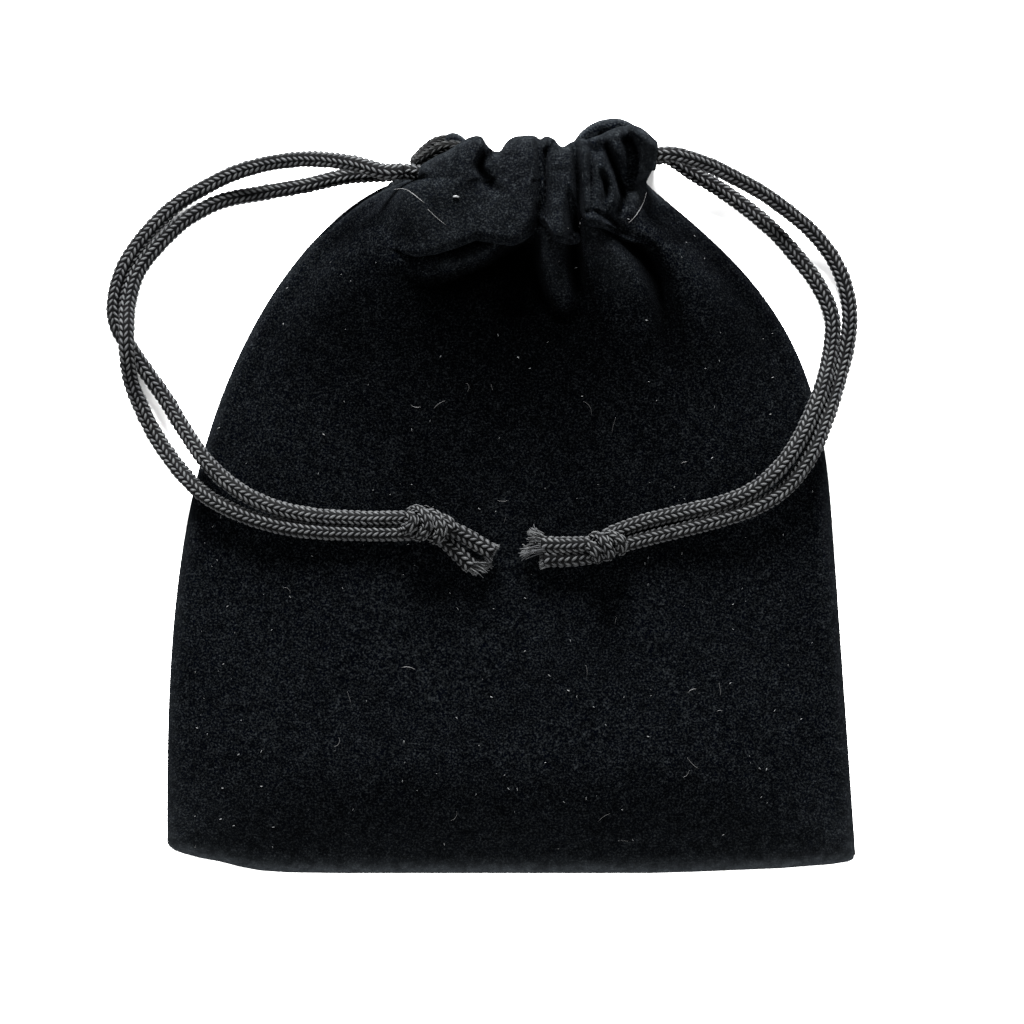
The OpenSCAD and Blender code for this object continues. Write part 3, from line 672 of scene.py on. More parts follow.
lipLine = [(-60, 37.4), (-27.9, 37.3), (-24.3, 36.6), (-20.7, 36), (-17.3, 35.4), (-13.2, 35.5),
           (-10.5, 35.9), (-7.6, 36.8), (-5, 37.9), (-2.5, 37.4), (-0.1, 37.0), (1.4, 37.6), (2.4, 38.4),
           (3.6, 39.6), (4.3, 40.0), (4.9, 39.8), (5.3, 38.2), (5.9, 37.5), (7.6, 37.3), (9.1, 37.5),
           (9.6, 38.6), (10.0, 39.9), (12.7, 39.5), (14, 38.8), (15.6, 37.8), (17.2, 36.9), (18.8, 36.3),
           (20.3, 36.1), (22, 36), (26, 36.6), (31, 37.3), (60, 37.4)]


def blurLine(values, times):
    for _ in range(times):
        values = np.concatenate([values[:1], (values[:-2] + 2 * values[1:-1] + values[2:]) / 4, values[-1:]])
    return values


def solveRow(u, y, points):
    for _ in range(12):
        y = 0.5 * y + 0.5 * lineValue(across(u, y), points)
    return y


# Above the side seams the columns run straight up to the fold
def casingX(u, y):
    top = outline["sideTop"]
    below = across(u, np.minimum(y, top))
    return below + (rightEdge(np.maximum(y, top)) - rightEdge(top)) * clamp01(u) ** 3


# Soft noise over the cloth, with patches as wide as the size
def drapeNoise(x, y, size, seed):
    flat = [noise.noise((a / size, b / size, seed)) for a, b in zip(x.ravel(), y.ravel())]
    return np.array(flat).reshape(x.shape)


def sideRoom(u, y):
    low = np.minimum(y, outline["sideTop"])
    return (1 - np.abs(u)) * (rightEdge(low) - leftEdge(low)) / 2


# The quarter round by which a sheet turns at its edge
def edgeTurn(side, reach):
    return 1 - np.sqrt(1 - (1 - clamp01(side / reach)) ** 2)


def edgeShape(u, y):
    side = np.maximum(np.minimum(sideRoom(u, y), y - bottomEdge(u)), 0)
    drop = frontSet["edgeDrop"] * edgeTurn(side, frontSet["edgeRound"])
    fade = 1 - frontSet["puffFade"] * easedOver(side, frontSet["puffFades"])
    return frontSet["puff"] * dome(side / frontSet["puffReach"]) * fade - drop


def bodyHeight(u, x, y):
    low = np.minimum(y, outline["sideTop"])
    base = frontSet["floor"] + hollow(across(u, low), low) + edgeShape(u, y)
    inner = dome(sideRoom(u, y) / frontSet["innerReach"])
    up = clamp01((y - frontSet["throatFrom"]) / frontSet["throatRun"])
    lift = frontSet["throatLift"] * up ** frontSet["throatCurve"] * inner
    folds = strokeHeights(x, y, bodyFolds) * inner
    return base + lift + folds + frontSet["drape"] * inner * drapeNoise(x, y, frontSet["drapeSize"], 3.1)


def casingWindow(u, y, lipY):
    climb = eased((y - lipY) / (outline["sideTop"] - lipY))
    stands = 1
    for low, high in (windowSet["left"], windowSet["right"]):
        stands = stands * eased((u - mixed(low[0], high[0], climb)) / mixed(low[1], high[1], climb))
    return mixed(stands, 1, easedOver(y - outline["sideTop"], windowSet["ends"]))


def casingHeight(u, x, y, lipY, topY):
    v = clamp01((y - lipY) / (topY - lipY))
    foot = bodyHeight(u, x, lipY)
    outer = mixed(foot + frontSet["lipRise"], frontSet["foldTop"], v ** frontSet["foldFall"])
    outer = outer + strokeHeights(x, y, casingFolds) * dome((1 - np.abs(u)) * frontSet["foldEnds"])
    outer = outer + frontSet["rumple"] * drapeNoise(x, y, frontSet["rumpleSize"], 9.4)
    window = casingWindow(u, y, lipY)
    height = mixed(bodyHeight(u, x, y), outer, window)
    ends = 1 - dome((1 - np.abs(u)) * frontSet["overEnds"])
    least = frontSet["overCords"] + frontSet["endLift"] * ends
    sharp = frontSet["overSharp"]
    held = np.logaddexp(height * sharp, least * sharp) / sharp
    over = easedOver(y - outline["sideTop"], frontSet["overFrom"])
    return mixed(height, held, over * clamp01(window))


# Painted light and shade on the velvet: a painted highlight on the rim, the hem, the casing, its crest, its
# right end and the raised folds; painted shade on the shoulders, painted shadow in the throat's hollow under
# the casing, and painted shade in the slots
def paintedLightOf(u, x, y, lipY=None, topY=None):
    side, foot = np.maximum(sideRoom(u, y), 0), np.maximum(y - bottomEdge(u), 0)
    if lipY is None:
        side = np.minimum(side, foot)
    edge = clamp01((paintedLightSet["leftEnd"] - u) / paintedLightSet["leftRun"]) * easedOver(y, paintedLightSet["leftUp"])
    pale = 1 + paintedLightSet["rim"] * (1 + paintedLightSet["leftRim"] * edge) * np.exp(-(side / paintedLightSet["rimReach"]) ** 2)
    pale = pale * (1 + paintedLightSet["foot"] * np.exp(-(foot / paintedLightSet["footReach"]) ** 2)
                   + paintedLightSet["hem"] * np.exp(-(foot / paintedLightSet["hemReach"]) ** 2))
    sloping = paintedLightSet["shoulder"] * easedOver(y, paintedLightSet["shoulderUp"])
    sloping = sloping * easedOver(np.abs(x), paintedLightSet["shoulderOut"])
    # on the casing: a painted highlight on its face, crest and right end, painted shade in its slots
    if lipY is not None:
        depth = clamp01(-strokeHeights(x, y, casingFolds) / paintedLightSet["slotFull"])
        flank = easedOver(x, paintedLightSet["endOut"]) * easedOver(y, paintedLightSet["endUp"])
        flank = flank * easedOver(y, paintedLightSet["endDown"])
        stands = mixed(1 - sloping, paintedLightSet["casing"], casingWindow(u, y, lipY)) * (1 + paintedLightSet["end"] * flank)
        stands = stands * (1 + paintedLightSet["crest"] * np.exp(-((topY - y) / paintedLightSet["crestReach"]) ** 2))
        return np.minimum(pale * (1 - paintedLightSet["slot"] * eased(depth)) * stands, paintedLightSet["most"])
    # below the casing: painted shadow in the throat's hollow, a painted highlight on raised folds, painted
    # shade in sunk ones
    throat = 1 - easedOver(np.abs(x), paintedLightSet["throatOut"])
    pale = pale * (1 - sloping) * (1 - paintedLightSet["upper"] * throat * easedOver(y, paintedLightSet["upperUp"]))
    middle, reach = paintedLightSet["hollowAt"], paintedLightSet["hollowReach"]
    zone = np.exp(-((x - middle[0]) / reach[0]) ** 2 - ((y - middle[1]) / reach[1]) ** 2)
    folds = strokeHeights(x, y, bodyFolds)
    raised, sunk = clamp01(folds / paintedLightSet["foldFull"]), clamp01(-folds / paintedLightSet["sunkFull"])
    pale = pale * (1 - paintedLightSet["hollow"] * zone * (1 - raised)) * (1 + paintedLightSet["fold"] * raised)
    return pale * (1 - paintedLightSet["slot"] * sunk)


def blurRows(values, times):
    for _ in range(times):
        inside = values.copy()
        beside = values[:-2, 1:-1] + values[2:, 1:-1] + values[1:-1, :-2] + values[1:-1, 2:]
        inside[1:-1, 1:-1] = values[1:-1, 1:-1] * 0.4 + 0.15 * beside
        values = inside
    return values


# Places across the sheet, closer together at both edges
def crowded(columns, crowd):
    w = np.linspace(-1, 1, columns)
    return np.sign(w) * (1 - (1 - np.abs(w)) ** crowd)


def frontGrid():
    nose, flatRow = frontSet["nose"], np.ones(frontSet["columns"])
    u = crowded(frontSet["columns"], frontSet["crowdColumns"])
    lipY = blurLine(solveRow(u, stitchY * flatRow, lipLine), 1)
    topY = blurLine(lineValue(across(u, outline["sideTop"] * flatRow), foldEdge), 2)
    rows = []

    def addRow(x, y, z, lip=lipY):
        near = clamp01((paintedLightSet["leftEnd"] - u) / frontSet["insetRun"]) * easedOver(y, frontSet["insetFrom"])
        # each row carries its painted light and shade
        rows.append((x + frontSet["leftInset"] * near, y, z, paintedLightOf(u, x, y, lip, topY)))

    for v in np.linspace(0, 1, frontSet["bodyRows"]):
        y = mixed(bottomEdge(u), lipY, 1 - (1 - v) ** frontSet["crowdRows"])
        x = across(u, y)
        addRow(x, y, bodyHeight(u, x, y), None)
    crease = rows[-1][2]
    outer = casingHeight(u, casingX(u, lipY), lipY, lipY, topY)
    hang = frontSet["lipHang"] * clamp01((outer - crease) / frontSet["lipFull"])
    # where no lip stands, its rows spread up the cloth
    unrolled = 1 - clamp01(hang / frontSet["lipLeast"])
    rise = frontSet["lipSpread"] * unrolled
    for turn in sharesTo(frontSet["lipRows"]):
        angle = math.pi * turn
        y = lipY + rise * turn - hang * math.sin(angle)
        x = casingX(u, y)
        over = casingHeight(u, x, lipY + rise * turn, lipY, topY)
        rolled = mixed(crease, over, (1 - math.cos(angle)) / 2)
        addRow(x, y, mixed(rolled, casingHeight(u, x, y, lipY, topY), unrolled))
    for v in sharesTo(frontSet["casingRows"]):
        y = mixed(lipY + rise, topY - nose, v)
        x = casingX(u, y)
        addRow(x, y, casingHeight(u, x, y, lipY, topY) - frontSet["noseFall"] * v ** 6)
    last = rows[-1][2]
    drop = np.minimum(frontSet["innerDrop"], last - frontSet["innerLeast"])
    drop = np.maximum(drop, last - frontSet["innerMost"])
    for turn in sharesTo(frontSet["foldRows"]):
        angle = math.pi * turn
        y = topY - nose + nose * math.sin(angle)
        addRow(casingX(u, np.minimum(y, topY)), y, last - drop * (1 - math.cos(angle)) / 2)
    inner = rows[-1][2]
    for v in sharesTo(frontSet["innerRows"]):
        y = mixed(topY - nose, lipY + frontSet["innerEnd"], v)
        turned = u * (1 - frontSet["innerNarrow"] * eased(v * 6))
        x = casingX(turned, y)
        under = casingHeight(turned, x, y, lipY, topY) - frontSet["innerGap"]
        under = np.minimum(np.minimum(inner, crease - frontSet["innerUnder"]), under)
        addRow(x, y, mixed(inner, under, eased(v * 4)))
    x, y, z, paintedLight = (np.array(part) for part in zip(*rows))
    return x, y, blurRows(z, frontSet["smooth"]), paintedLight


# A sheet from a grid primitive, its points laid where the rows say
def sheetPiece(name, x, y, z, paintedLight, material, thickness):
    rows, columns = x.shape
    bpy.ops.mesh.primitive_grid_add(x_subdivisions=columns - 1, y_subdivisions=rows - 1, size=2)
    piece = bpy.context.active_object
    piece.name = name
    piece.data.name = name
    flat = np.zeros(len(piece.data.vertices) * 3, np.float32)
    piece.data.vertices.foreach_get("co", flat)
    flat = flat.reshape(-1, 3)
    column = np.round((flat[:, 0] + 1) / 2 * (columns - 1)).astype(int)
    row = np.round((flat[:, 1] + 1) / 2 * (rows - 1)).astype(int)
    placed = np.stack([x[row, column], y[row, column], z[row, column]], axis=1) * mm
    piece.data.vertices.foreach_set("co", placed.astype(np.float32).ravel())
    piece.data.update()
    piece.data.materials.append(material)
    # the painted light and shade that the velvet reads
    layer = piece.data.attributes.new("paintedLight", "FLOAT", "POINT")
    layer.data.foreach_set("value", paintedLight[row, column].astype(np.float32))
    solid = piece.modifiers.new("cloth", "SOLIDIFY")
    solid.thickness = thickness * mm
    solid.offset = -1
    solid.use_even_offset = False
    bpy.ops.object.modifier_apply(modifier=solid.name)
    piece.data.polygons.foreach_set("use_smooth", [True] * len(piece.data.polygons))
    piece.select_set(False)
    return piece


frontRows = frontGrid()
frontCloth = sheetPiece("front_cloth", *frontRows, velvetPaintedLight, frontSet["thickness"])
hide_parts("front_panel", "front_casing")
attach(frontCloth, "bag")
print("bag: front cloth", len(frontCloth.data.polygons), "faces")


# The back cloth: flat on the table, its casing pleated and folded over the cords
backSet = {
    "columns": 150, "bodyRows": 96, "casingRows": 30, "foldRows": 9, "innerRows": 18, "crowdColumns": 1.12,
    "thickness": 0.85, "smooth": 2, "edgeRise": 1.0, "edgeRound": 1.8, "casingEdge": 0.4,
    "sag": 0.16, "sagSize": 17.0, "foldEnds": 8, "nose": 1.3,
    "crease": 0.5, "creaseUp": 0.6, "creaseReach": 0.8,
    "underCords": 0.35, "cordsAt": 46.9, "cordsReach": 2.2, "room": 3, "roomRun": 1.4,
    "top": 4.6, "topEnds": 1.4, "topReach": 5, "follow": 0.35,
    "innerNarrow": 0.14, "innerEnd": 1.0, "innerLow": 1.9,
}
backEdge = [(-17, 45.3), (-15, 46.6), (-12.6, 48), (-10.8, 49.2), (-10.0, 51), (-9.6, 52.2), (-9.0, 52.6),
            (-8.0, 52.6), (-7.0, 52.0), (-6.2, 51.0), (-4, 49.9), (-2.4, 49.6), (-1.4, 49.6), (0, 50.3),
            (5, 50.6), (7, 49.6), (8.6, 51.0), (9.8, 52.7), (11.2, 53.8), (12.7, 54.4), (14.1, 54.7),
            (15.4, 54.7), (16.8, 54.2), (18.2, 53.0), (19.4, 50.8)]
backFolds = [("slot", [(a, 53.5), (b, 44), (c, 37.5)], [1.6, 2.0, 1.2], [2.4, 2.2, 0.8])
             for a, b, c in [(-8.6, -11.5, -16), (-4.2, -6, -8.5), (-0.6, -1.6, -2.6), (2.8, 2.5, 2.6),
                             (6, 6.4, 7.4), (9.2, 10, 11.4), (12.6, 13.4, 15.6), (16.4, 17, 19.6)]]
backFolds += [("slot", [(a, 37.6), (b, 24)], [1.8, 3.4], [0.9, 0.1])
              for a, b in [(-14, -18), (-5, -6), (4, 4.6), (12.5, 15), (20, 24)]]


def backGrid():
    nose, flatRow = backSet["nose"], np.ones(backSet["columns"])
    u = crowded(backSet["columns"], backSet["crowdColumns"])
    inward = 1 - np.abs(u)
    topY = blurLine(lineValue(across(u, outline["sideTop"] * flatRow), backEdge), 2)
    rows = []

    def under(x, y, foot):
        side = sideRoom(u, y)
        if foot:
            side = np.minimum(side, y - bottomEdge(u))
        lift = backSet["edgeRise"] * edgeTurn(np.maximum(side, 0), backSet["edgeRound"])
        lift = lift * (1 if foot else backSet["casingEdge"])
        sag = backSet["sag"] * np.maximum(0, drapeNoise(x, y, backSet["sagSize"], 7.7) + 0.1)
        return lift + sag - strokeHeights(x, y, backFolds) * dome(inward * backSet["foldEnds"])

    for v in np.linspace(0, 1, backSet["bodyRows"]):
        y = mixed(bottomEdge(u), stitchY * flatRow, v)
        x = across(u, y)
        rows.append((x, y, under(x, y, True)))
    for v in sharesTo(backSet["casingRows"]):
        y = mixed(stitchY * flatRow, topY - nose, v)
        x = casingX(u, y)
        fromCrease = (y - stitchY - backSet["creaseUp"]) / backSet["creaseReach"]
        dent = backSet["crease"] * np.exp(-fromCrease ** 2)
        beyond = np.abs(y - backSet["cordsAt"]) - backSet["cordsReach"]
        room = backSet["underCords"] + backSet["room"] * eased(beyond / backSet["roomRun"])
        height = under(x, y, False) + dent * dome(inward * backSet["foldEnds"])
        rows.append((x, y, np.minimum(height, room)))
    first = rows[-1][2]
    inner = mixed(backSet["topEnds"], backSet["top"], dome(inward * backSet["topReach"]))
    inner = inner + backSet["follow"] * first
    for turn in sharesTo(backSet["foldRows"]):
        angle = math.pi * turn
        y = topY - nose + nose * math.sin(angle)
        rows.append((casingX(u, np.minimum(y, topY)), y, mixed(first, inner, (1 - math.cos(angle)) / 2)))
    for v in sharesTo(backSet["innerRows"]):
        y = mixed(topY - nose, (stitchY + backSet["innerEnd"]) * flatRow, v)
        low = mixed(inner, np.minimum(inner, backSet["innerLow"]), eased((v - 0.75) * 4))
        rows.append((casingX(u * (1 - backSet["innerNarrow"] * eased(v * 6)), y), y, low))
    x, y, z = (np.array(part) for part in zip(*rows))
    # painted shade inside the casing, a painted highlight along the fold's top
    rim = np.exp(-((topY - y) / paintedLightSet["backRimReach"]) ** 2)
    paintedLight = mixed(1, paintedLightSet["inside"], eased((y - stitchY) / paintedLightSet["insideRun"])) + paintedLightSet["backRim"] * rim
    return x, y, blurRows(z, backSet["smooth"]), paintedLight


backRows = backGrid()
backCloth = sheetPiece("back_cloth", *(part[:, ::-1] for part in backRows), velvetBack, backSet["thickness"])
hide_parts("back_panel", "back_casing")
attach(backCloth, "bag")
print("bag: back cloth", len(backCloth.data.polygons), "faces")


# Seams: the raw edges folded inside, well in from the outline
seamSet = {"outer": 0.8, "inner": 3.5, "low": 0.95, "high": 1.9, "steps": 60, "foot": 6.6, "footEnd": 0.97}


def seamPiece(name, outer, inner):
    count, low, high = len(outer), seamSet["low"], seamSet["high"]
    points = [(x, y, z) for line, z in ((outer, low), (inner, low), (inner, high), (outer, high))
              for x, y in line]
    faces = []
    for i in range(count - 1):
        for k in range(4):
            a, b = k * count + i, (k + 1) % 4 * count + i
            faces.append((a, a + 1, b + 1, b))
    faces += [tuple(k * count for k in range(4)), tuple(k * count + count - 1 for k in reversed(range(4)))]
    # the seams take the velvet copy darkened as painted shade
    piece = newPiece(name, np.array(points) * mm, faces, velvetInside, smooth=False)
    outwardFaces(piece)
    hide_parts(name.replace("_allowance", ""))
    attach(piece, "bag")


def makeSeams():
    y = np.linspace(bottomY + seamSet["foot"], stitchY, seamSet["steps"])
    for name, edge, way in (("left_side_seam", leftEdge, 1), ("right_side_seam", rightEdge, -1)):
        outer, inner = (list(zip(edge(y) + way * seamSet[key], y)) for key in ("outer", "inner"))
        seamPiece(name + "_allowance", outer, inner)
    u = np.linspace(-seamSet["footEnd"], seamSet["footEnd"], seamSet["steps"])
    foot = bottomEdge(u)
    outer, inner = (list(zip(across(u, foot), foot + seamSet[key])) for key in ("outer", "inner"))
    seamPiece("bottom_seam_allowance", outer, inner)


makeSeams()
print("bag: three seams")


# The cords inside the casings, and where each turns back at the far end
bightRoutes = {
    "left": [(12.0, 46.65, 10.6), (14.2, 46.65, 10.4), (16.2, 46.7, 9.6), (17.4, 46.8, 8.0),
             (17.7, 46.8, 6.3), (17.3, 46.8, 4.6), (16.2, 46.7, 3.1), (14.2, 46.65, 2.3),
             (12.0, 46.65, 2.2)],
    "right": [(-5.6, 49.4, 10.8), (-7.6, 50.1, 11.2), (-9.9, 50.1, 11.5), (-11.6, 49.1, 11.2),
              (-13.2, 48.1, 9.9), (-13.9, 48.2, 8.0), (-13.4, 48.9, 6.3), (-12.5, 49.9, 5.1),
              (-11.4, 50.8, 4.4), (-10.2, 51.3, 3.8), (-8.8, 51.4, 3.3), (-7.2, 50.6, 2.7),
              (-5.6, 49.6, 2.4)],
}
runSet = {"ease": 6.0, "points": 12, "dip": {"front": 1.8, "back": 0},
          "shift": {"left": {"front": 0.7, "back": 0.0}, "right": {"front": 1.1, "back": 0.6}}}


def makeInside():
    for side, route in bightRoutes.items():
        # the bights take the darker yarn, painted shade inside the casing
        piece, _ = knitPiece(side + "_bight_cord", route, 31, yarnShaded, turnStart=0.4, turnEnd=1.0)
        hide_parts(side + "_cord_bight")
        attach(piece, "bag")
    for side, place in (("left", exitLeft), ("right", exitRight)):
        low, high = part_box(side + "_cord_runs")
        far = (high.x if side == "left" else low.x) / mm
        for layer in ("front", "back"):
            x, y, z = place[layer]
            route = []
            for share in np.linspace(0, 1, runSet["points"]):
                at = mixed(x, far, share)
                inside = eased(abs(at - x) / runSet["ease"])
                shift, dip = runSet["shift"][side][layer], runSet["dip"][layer]
                route.append((at, y - shift * inside, z - dip * inside))
            piece, _ = knitPiece(f"{side}_{layer}_run", route, 41, turnStart=0.3, turnEnd=0.5,
                                 wide=cordSet["wide"])
            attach(piece, side + "_cord")
        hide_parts(side + "_cord_runs")


makeInside()
print("cords: runs and bights")


# Knots: both strands wound round themselves, and the frayed tails
knotSet = {
    "left": {"centre": (-12.5, -4.2, 10.3), "heading": -15, "long": 8.2, "radius": 1.65, "turns": 3.1,
             "lean": 1.0, "seed": 54},
    "right": {"centre": (13.1, -7.3, 10.2), "heading": 12, "long": 6.2, "radius": 1.45, "turns": 2.4,
              "lean": 0.75, "seed": 61},
    "flat": 0.95, "uneven": 0.24, "stepsPerTurn": 8, "start": 0.6, "endShare": 0.55,
}


def knotRoute(place):
    heading = math.radians(place["heading"])
    ahead = np.array([math.cos(heading), math.sin(heading), 0])
    side = np.array([-math.sin(heading), math.cos(heading), 0])
    draws = np.random.default_rng(place["seed"])
    ends = knotSet["endShare"]
    steps = int(place["turns"] * knotSet["stepsPerTurn"])
    route = []
    for i in range(steps + 1):
        share = i / steps
        angle = 2 * math.pi * place["turns"] * share + knotSet["start"]
        reach = place["radius"] * (ends + (1 - ends) * math.sin(math.pi * share) ** 0.35)
        x = (share - 0.5) * (place["long"] - cordSet["diameter"] / mm) + place["lean"] * math.sin(angle)
        point = (np.array(place["centre"]) + ahead * x + side * reach * math.cos(angle)
                 + np.array([0, 0, knotSet["flat"] * reach * math.sin(angle)]))
        route.append(tuple(point + draws.normal(0, knotSet["uneven"], 3) * (0.5, 0.6, 0.3)))
    return route


def makeKnots():
    made = {}
    for side in ("left", "right"):
        piece, _ = knitPiece(side + "_knot_cord", knotRoute(knotSet[side]), knotSet[side]["seed"],
                             startUp=(0.3, 0.1, 1))
        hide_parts(side + "_knot")
        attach(piece, side + "_cord")
        made[side] = piece
    return made


tailSet = {"fibres": 36, "thick": 0.12, "thin": 0.55, "spread": 0.05, "reach": 0.24, "curl": 0.35, "steps": 7,
           "sides": 4, "wide": 1.28, "swell": 0.1, "droop": -0.08, "inside": 0.5, "shortest": 0.55}
# Each clump of loose fibres: its start from the cord's end, its heading in degrees, its length
tailClumps = {
    "left_front": [((0.3, 0.7), -22, 0.6), ((0.0, 0.1), -35, 0.5), ((-0.4, -0.6), -52, 0.7)],
    "left_back": [((0.3, 0.3), -6, 2.9), ((0.1, 0.0), -14, 2.6), ((0.0, -0.4), -40, 1.3),
                  ((-0.5, -0.3), -60, 0.4)],
    "right_front": [((-0.1, 1.0), 152, 2.2), ((0.0, 0.5), 178, 2.2), ((0.0, -0.7), 188, 3.4),
                    ((0, 0), 180, 0.5)],
    "right_back": [((0.0, 0.5), 186, 0.6), ((0.0, -0.1), 180, 0.6), ((0.0, -0.6), 205, 0.7)],
}


def fibreMesh(fibres, draws):
    steps, sides = tailSet["steps"], tailSet["sides"]
    points, faces, yarn = [], [], []
    for start, way, long in fibres:
        bend = draws.normal(0, tailSet["curl"], 3)
        at = np.array(start, float)
        way = way / np.linalg.norm(way)
        faces += tubeFaces(len(points), steps, sides)
        tone = draws.uniform(0, cordSet["shades"])
        for k in range(steps):
            share = k / (steps - 1)
            side = np.cross(way, (0.31, 0.52, 0.8))
            side /= np.linalg.norm(side)
            size = tailSet["thick"] * (1 - tailSet["thin"] * share)
            points += ringPoints(at, side, np.cross(side, way), size, sides)
            # the loose fibres take colours from the yarn's body up to its crowns' painted highlight, paler to
            # their tips
            yarn += [(tone + share, tone, 0.75 + 0.2 * share)] * sides
            at = at + way * long / (steps - 1)
            way = way + bend / (steps - 1)
            way /= np.linalg.norm(way)
    return np.array(points), faces, np.array(yarn)


def looseFibres(name, line, draws):
    end, ahead = line[-1] / mm, line[-1] - line[-3]
    ahead = ahead / np.linalg.norm(ahead)
    side = np.cross(ahead, (0, 0, 1))
    fibres = []
    for offset, heading, long in tailClumps[name]:
        way = np.array([math.cos(math.radians(heading)), math.sin(math.radians(heading)), tailSet["droop"]])
        for _ in range(tailSet["fibres"]):
            a, b = draws.normal(0, tailSet["reach"], 2)
            start = end - ahead * tailSet["inside"] + side * a + np.array([*offset, b])
            heads = way + draws.normal(0, tailSet["spread"], 3) * (1, 1, 0.6)
            fibres.append((start, heads, 0.5 + long * draws.uniform(tailSet["shortest"], 1)))
    return fibres


def makeTails():
    made = {}
    for i, (name, route) in enumerate(tailRoutes.items()):
        draws = np.random.default_rng(71 + i)
        points, faces, yarn, line = knitMesh(
            route, 81 + i, turnStart=0.4, turnEnd=0.2, swell=tailSet["swell"], wide=tailSet["wide"],
            narrow=tailSet["wide"])
        more, moreFaces, moreYarn = fibreMesh(looseFibres(name, line, draws), draws)
        faces += [tuple(len(points) + v for v in face) for face in moreFaces]
        piece = newPiece(name + "_tail_end", np.vstack([points, more * mm]), faces, yarnGrey)
        setVector(piece.data, "yarn", np.vstack([yarn, moreYarn]))
        outwardFaces(piece)
        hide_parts(name + "_tail")
        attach(piece, name.split("_")[0] + "_cord")
        made[name] = piece
    return made


knots = makeKnots()
tails = makeTails()
print("cords: knots and frayed tails")

for name, (piece, line) in strands.items():
    side, layer = name.split("_")


# Stitches in the crease of each casing
threadSet = {"twist": 5200, "rough": 0.5, "sheen": 0.1, "bump": 0.03 * mm, "stops": (0.3, 0.7),
             "shades": ((0.0004, 0.0004, 0.0005), (0.0016, 0.0017, 0.002))}
stitchSet = {"front": 27, "back": 23, "size": 0.19, "long": 0.5, "sides": 6, "rings": 5, "uneven": (0.9, 1.1),
             "frontSpan": (0.29, 0.75), "backSpan": (0.17, 0.83), "frontLift": 0.12, "backLift": -0.05}


def makeThread():
    material, tree, shader = newMaterial("thread")
    twist = noiseNode(tree, threadSet["twist"], 2.0)
    colour = rampNode(tree, twist, threadSet["stops"], threadSet["shades"])
    setInputs(tree, shader, {
        "Base Color": colour, "Roughness": threadSet["rough"], "Sheen Weight": threadSet["sheen"]})
    addBump(tree, shader, twist, threadSet["bump"])
    return material


thread = makeThread()


def stitchRow(name, x, y, z, count, span, lift, node):
    draws = np.random.default_rng(91)
    along = np.concatenate([[0], np.cumsum(np.hypot(np.diff(x), np.diff(z)))])
    sides, rings = stitchSet["sides"], stitchSet["rings"]
    points, faces = [], []
    for i in range(count):
        middle = along[-1] * mixed(span[0], span[1], (i + 0.5) / count)
        half = along[-1] * (span[1] - span[0]) / count * stitchSet["long"] / 2
        half *= draws.uniform(*stitchSet["uneven"])
        faces += tubeFaces(len(points), rings, sides)
        for k in range(rings):
            off = 2 * k / (rings - 1) - 1
            centre = np.array([np.interp(middle + off * half, along, part) for part in (x, y, z)])
            centre[2] += lift * (1 - 1.5 * off ** 2)
            size = stitchSet["size"] * (0.75 + 0.25 * (1 - off ** 2))
            points += ringPoints(centre, np.array([0, 1, 0]), np.array([0, 0, 1]), size, sides)
    piece = newPiece(name, np.array(points) * mm, faces, thread)
    outwardFaces(piece)
    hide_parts(node)
    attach(piece, "bag")


for side, rows, row in (("front", frontRows, frontSet["bodyRows"] - 1),
                        ("back", backRows, backSet["bodyRows"] + 1)):
    stitchRow(side + "_stitches", *(part[row] for part in rows[:3]), stitchSet[side],
              stitchSet[side + "Span"], stitchSet[side + "Lift"], side + "_casing_stitches")
print("bag: stitches")


# The picture's rays, for what lies on a surface in view
def placeOn(tree, point):
    half, data = cameraSet["frame"] / 2, camera.data
    way = Vector((point[0] - half, half - point[1], -cameraSet["frame"] * data.lens / data.sensor_width))
    way.normalize()
    start = camera.location.copy()
    hit = tree.ray_cast(start, way)
    if hit[0] is None:
        reach = (cameraSet["height"] - cameraSet["outlineHeight"]) / -way.z
        hit = tree.find_nearest(start + way * reach)
    return hit[0]


frontTree = BVHTree.FromPolygons([v.co.copy() for v in frontCloth.data.vertices],
                                 [tuple(p.vertices) for p in frontCloth.data.polygons])


# Lint: a few pale fibres and specks caught in the pile
lintSet = {"specks": 190, "hairs": 26, "thinnest": 0.02, "thick": 0.035, "jump": 0.6, "longJump": 3,
           "hair": (0.0036, 0.0040, 0.0043), "speck": (0.014, 0.016, 0.017), "dark": 0.35, "scale": 900,
           "rough": 0.6, "sides": 4}
# Those that stand out: image point, kind, thickness, longest jump in height, and the line from that point
lintLines = [
    ("lintLong", "hair", 0.045, "longJump",
     [(-4.6, 2.5), (-3.6, 2.6), (-2.6, 2.3), (-1.3, 1.3), (-0.1, 0.3)]),
    ("lintLong", "hair", 0.04, "jump", [(0.4, -0.6), (1.5, -1.7), (3.0, -2.9)]),
    ("lintRight", "hair", 0.045, "longJump",
     [(1.3, 2.4), (0.9, 1.0), (0.2, -0.4), (-0.6, -1.5), (-1.4, -2.2)]),
    ("lintSpeck", "speck", 0.16, "jump", [(-0.45, 0), (0, 0.12), (0.45, -0.05)]),
]


def makeLintMaterial(kind):
    material, tree, shader = newMaterial("lint_" + kind)
    shades = (toned(lintSet[kind], lintSet["dark"]), lintSet[kind])
    colour = rampNode(tree, noiseNode(tree, lintSet["scale"], 1.0), (0.3, 0.7), shades)
    setInputs(tree, shader, {"Base Color": colour, "Roughness": lintSet["rough"]})
    return material


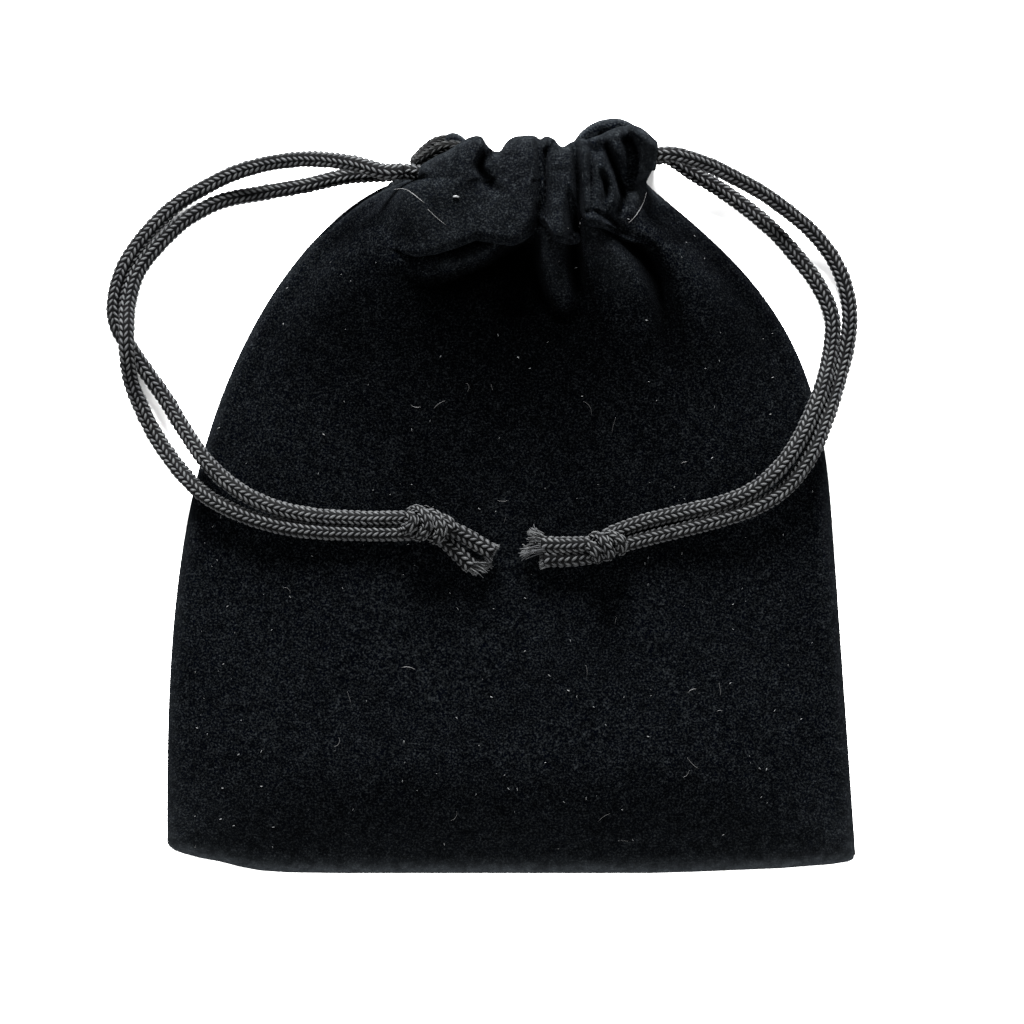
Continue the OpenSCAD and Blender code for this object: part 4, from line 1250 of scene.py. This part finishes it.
def hairPoints(line, thick):
    points = []
    for k, at in enumerate(line):
        ahead = line[min(k + 1, len(line) - 1)] - line[max(k - 1, 0)]
        side = np.cross(ahead, (0, 0, 1))
        side /= max(np.linalg.norm(side), 1e-12)
        up = np.cross(side, ahead / np.linalg.norm(ahead))
        size = thick * (0.5 + 0.5 * math.sin(math.pi * (k + 0.5) / len(line)))
        points += ringPoints(at, side, up, size, lintSet["sides"])
    return points


# Lays a line on the cloth, or nothing where the cloth steps too far up or down
def addHair(piece, flatLine, thick, jump):
    points, faces = piece
    steps = np.linspace(0, len(flatLine) - 1, 3 * len(flatLine))
    flatX, flatY = (blurLine(np.interp(steps, range(len(flatLine)), part), 3) for part in zip(*flatLine))
    route = []
    for x, y in zip(flatX, flatY):
        hit = frontTree.ray_cast(Vector((x * mm, y * mm, 0.05)), Vector((0, 0, -1)))
        if hit[0] is None or (route and abs(hit[0].z / mm - route[-1][2]) > jump):
            return
        route.append(np.array(hit[0]) / mm + np.array([0, 0, thick * 0.8]))
    faces += tubeFaces(len(points), len(route), lintSet["sides"])
    points += hairPoints(np.array(route, float), thick)


def strewnHair(draws, bends=5):
    x, y = draws.uniform(-44, 42), draws.uniform(-50, 18)
    turn, bend = draws.uniform(0, 2 * math.pi), draws.normal(0, 1.1)
    long = draws.uniform(0.8, 2.4)
    line = [(x, y)]
    for _ in range(bends):
        x += math.cos(turn) * long / bends
        y += math.sin(turn) * long / bends
        turn += bend / bends
        line.append((x, y))
    return line, draws.uniform(lintSet["thinnest"], lintSet["thick"])


def strewnSpeck(draws):
    x, y = draws.uniform(-46, 44), draws.uniform(-52, 40)
    turn, size = draws.uniform(0, math.pi), draws.uniform(0.06, 0.2)
    return [(x + k * math.cos(turn) * size, y + k * math.sin(turn) * size) for k in range(3)], size * 0.35


def makeLint():
    draws = np.random.default_rng(5)
    made = {"hair": ([], []), "speck": ([], [])}
    places = {name: placeOn(frontTree, imagePoints[name]) for name in ("lintLong", "lintSpeck", "lintRight")}
    for name, kind, thick, jump, line in lintLines:
        x, y, _ = np.array(places[name]) / mm
        addHair(made[kind], [(x + a, y + b) for a, b in line], thick, lintSet[jump])
    for kind, strewn in (("hair", strewnHair), ("speck", strewnSpeck)):
        for _ in range(lintSet[kind + "s"]):
            addHair(made[kind], *strewn(draws), lintSet["jump"])
    for kind, (points, faces) in made.items():
        piece = newPiece("lint_" + kind, np.array(points) * mm, faces, makeLintMaterial(kind))
        outwardFaces(piece)
        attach(piece, "bag")
    return places


lintPlaces = makeLint()
print("bag: lint")


# Floor, light and the soft white round
floorSet = {"size": 6, "drop": 0.02 * mm, "scale": 60, "shades": (0.93, 0.95), "stops": (0.3, 0.7)}
lightSet = {"world": 1.5, "key": 380.0, "keySize": 0.5, "keyAt": (-0.06, 1.24, 0.4),
            "fill": 50.0, "fillSize": 0.5, "fillAt": (0.1, -1.2, 0.4)}


def makeFloor():
    bpy.ops.mesh.primitive_plane_add(size=floorSet["size"], location=(0, 0, -floorSet["drop"]))
    floor = bpy.context.active_object
    floor.name = "floor"
    material, tree, shader = newMaterial("floor_white")
    grain = noiseNode(tree, floorSet["scale"], 2.0)
    colour = rampNode(tree, grain, floorSet["stops"], [grey(v) for v in floorSet["shades"]])
    setInputs(tree, shader, {"Base Color": colour, "Roughness": 1.0, "Specular IOR Level": 0.0})
    floor.data.materials.append(material)
    floor.select_set(False)


def areaLight(name):
    data = bpy.data.lights.new(name, "AREA")
    data.size = lightSet[name + "Size"]
    data.energy = lightSet[name]
    lamp = bpy.data.objects.new(name, data)
    lamp.location = lightSet[name + "At"]
    lamp.rotation_euler = (-Vector(lightSet[name + "At"])).to_track_quat("-Z", "Y").to_euler()
    scene.collection.objects.link(lamp)


def makeLight():
    world = bpy.data.worlds.new("studio")
    scene.world = world
    world.use_nodes = True
    back = world.node_tree.nodes["Background"]
    back.inputs["Color"].default_value = (1, 1, 1, 1)
    back.inputs["Strength"].default_value = lightSet["world"]
    areaLight("key")
    areaLight("fill")
    scene.view_settings.view_transform = "Standard"


makeFloor()
makeLight()
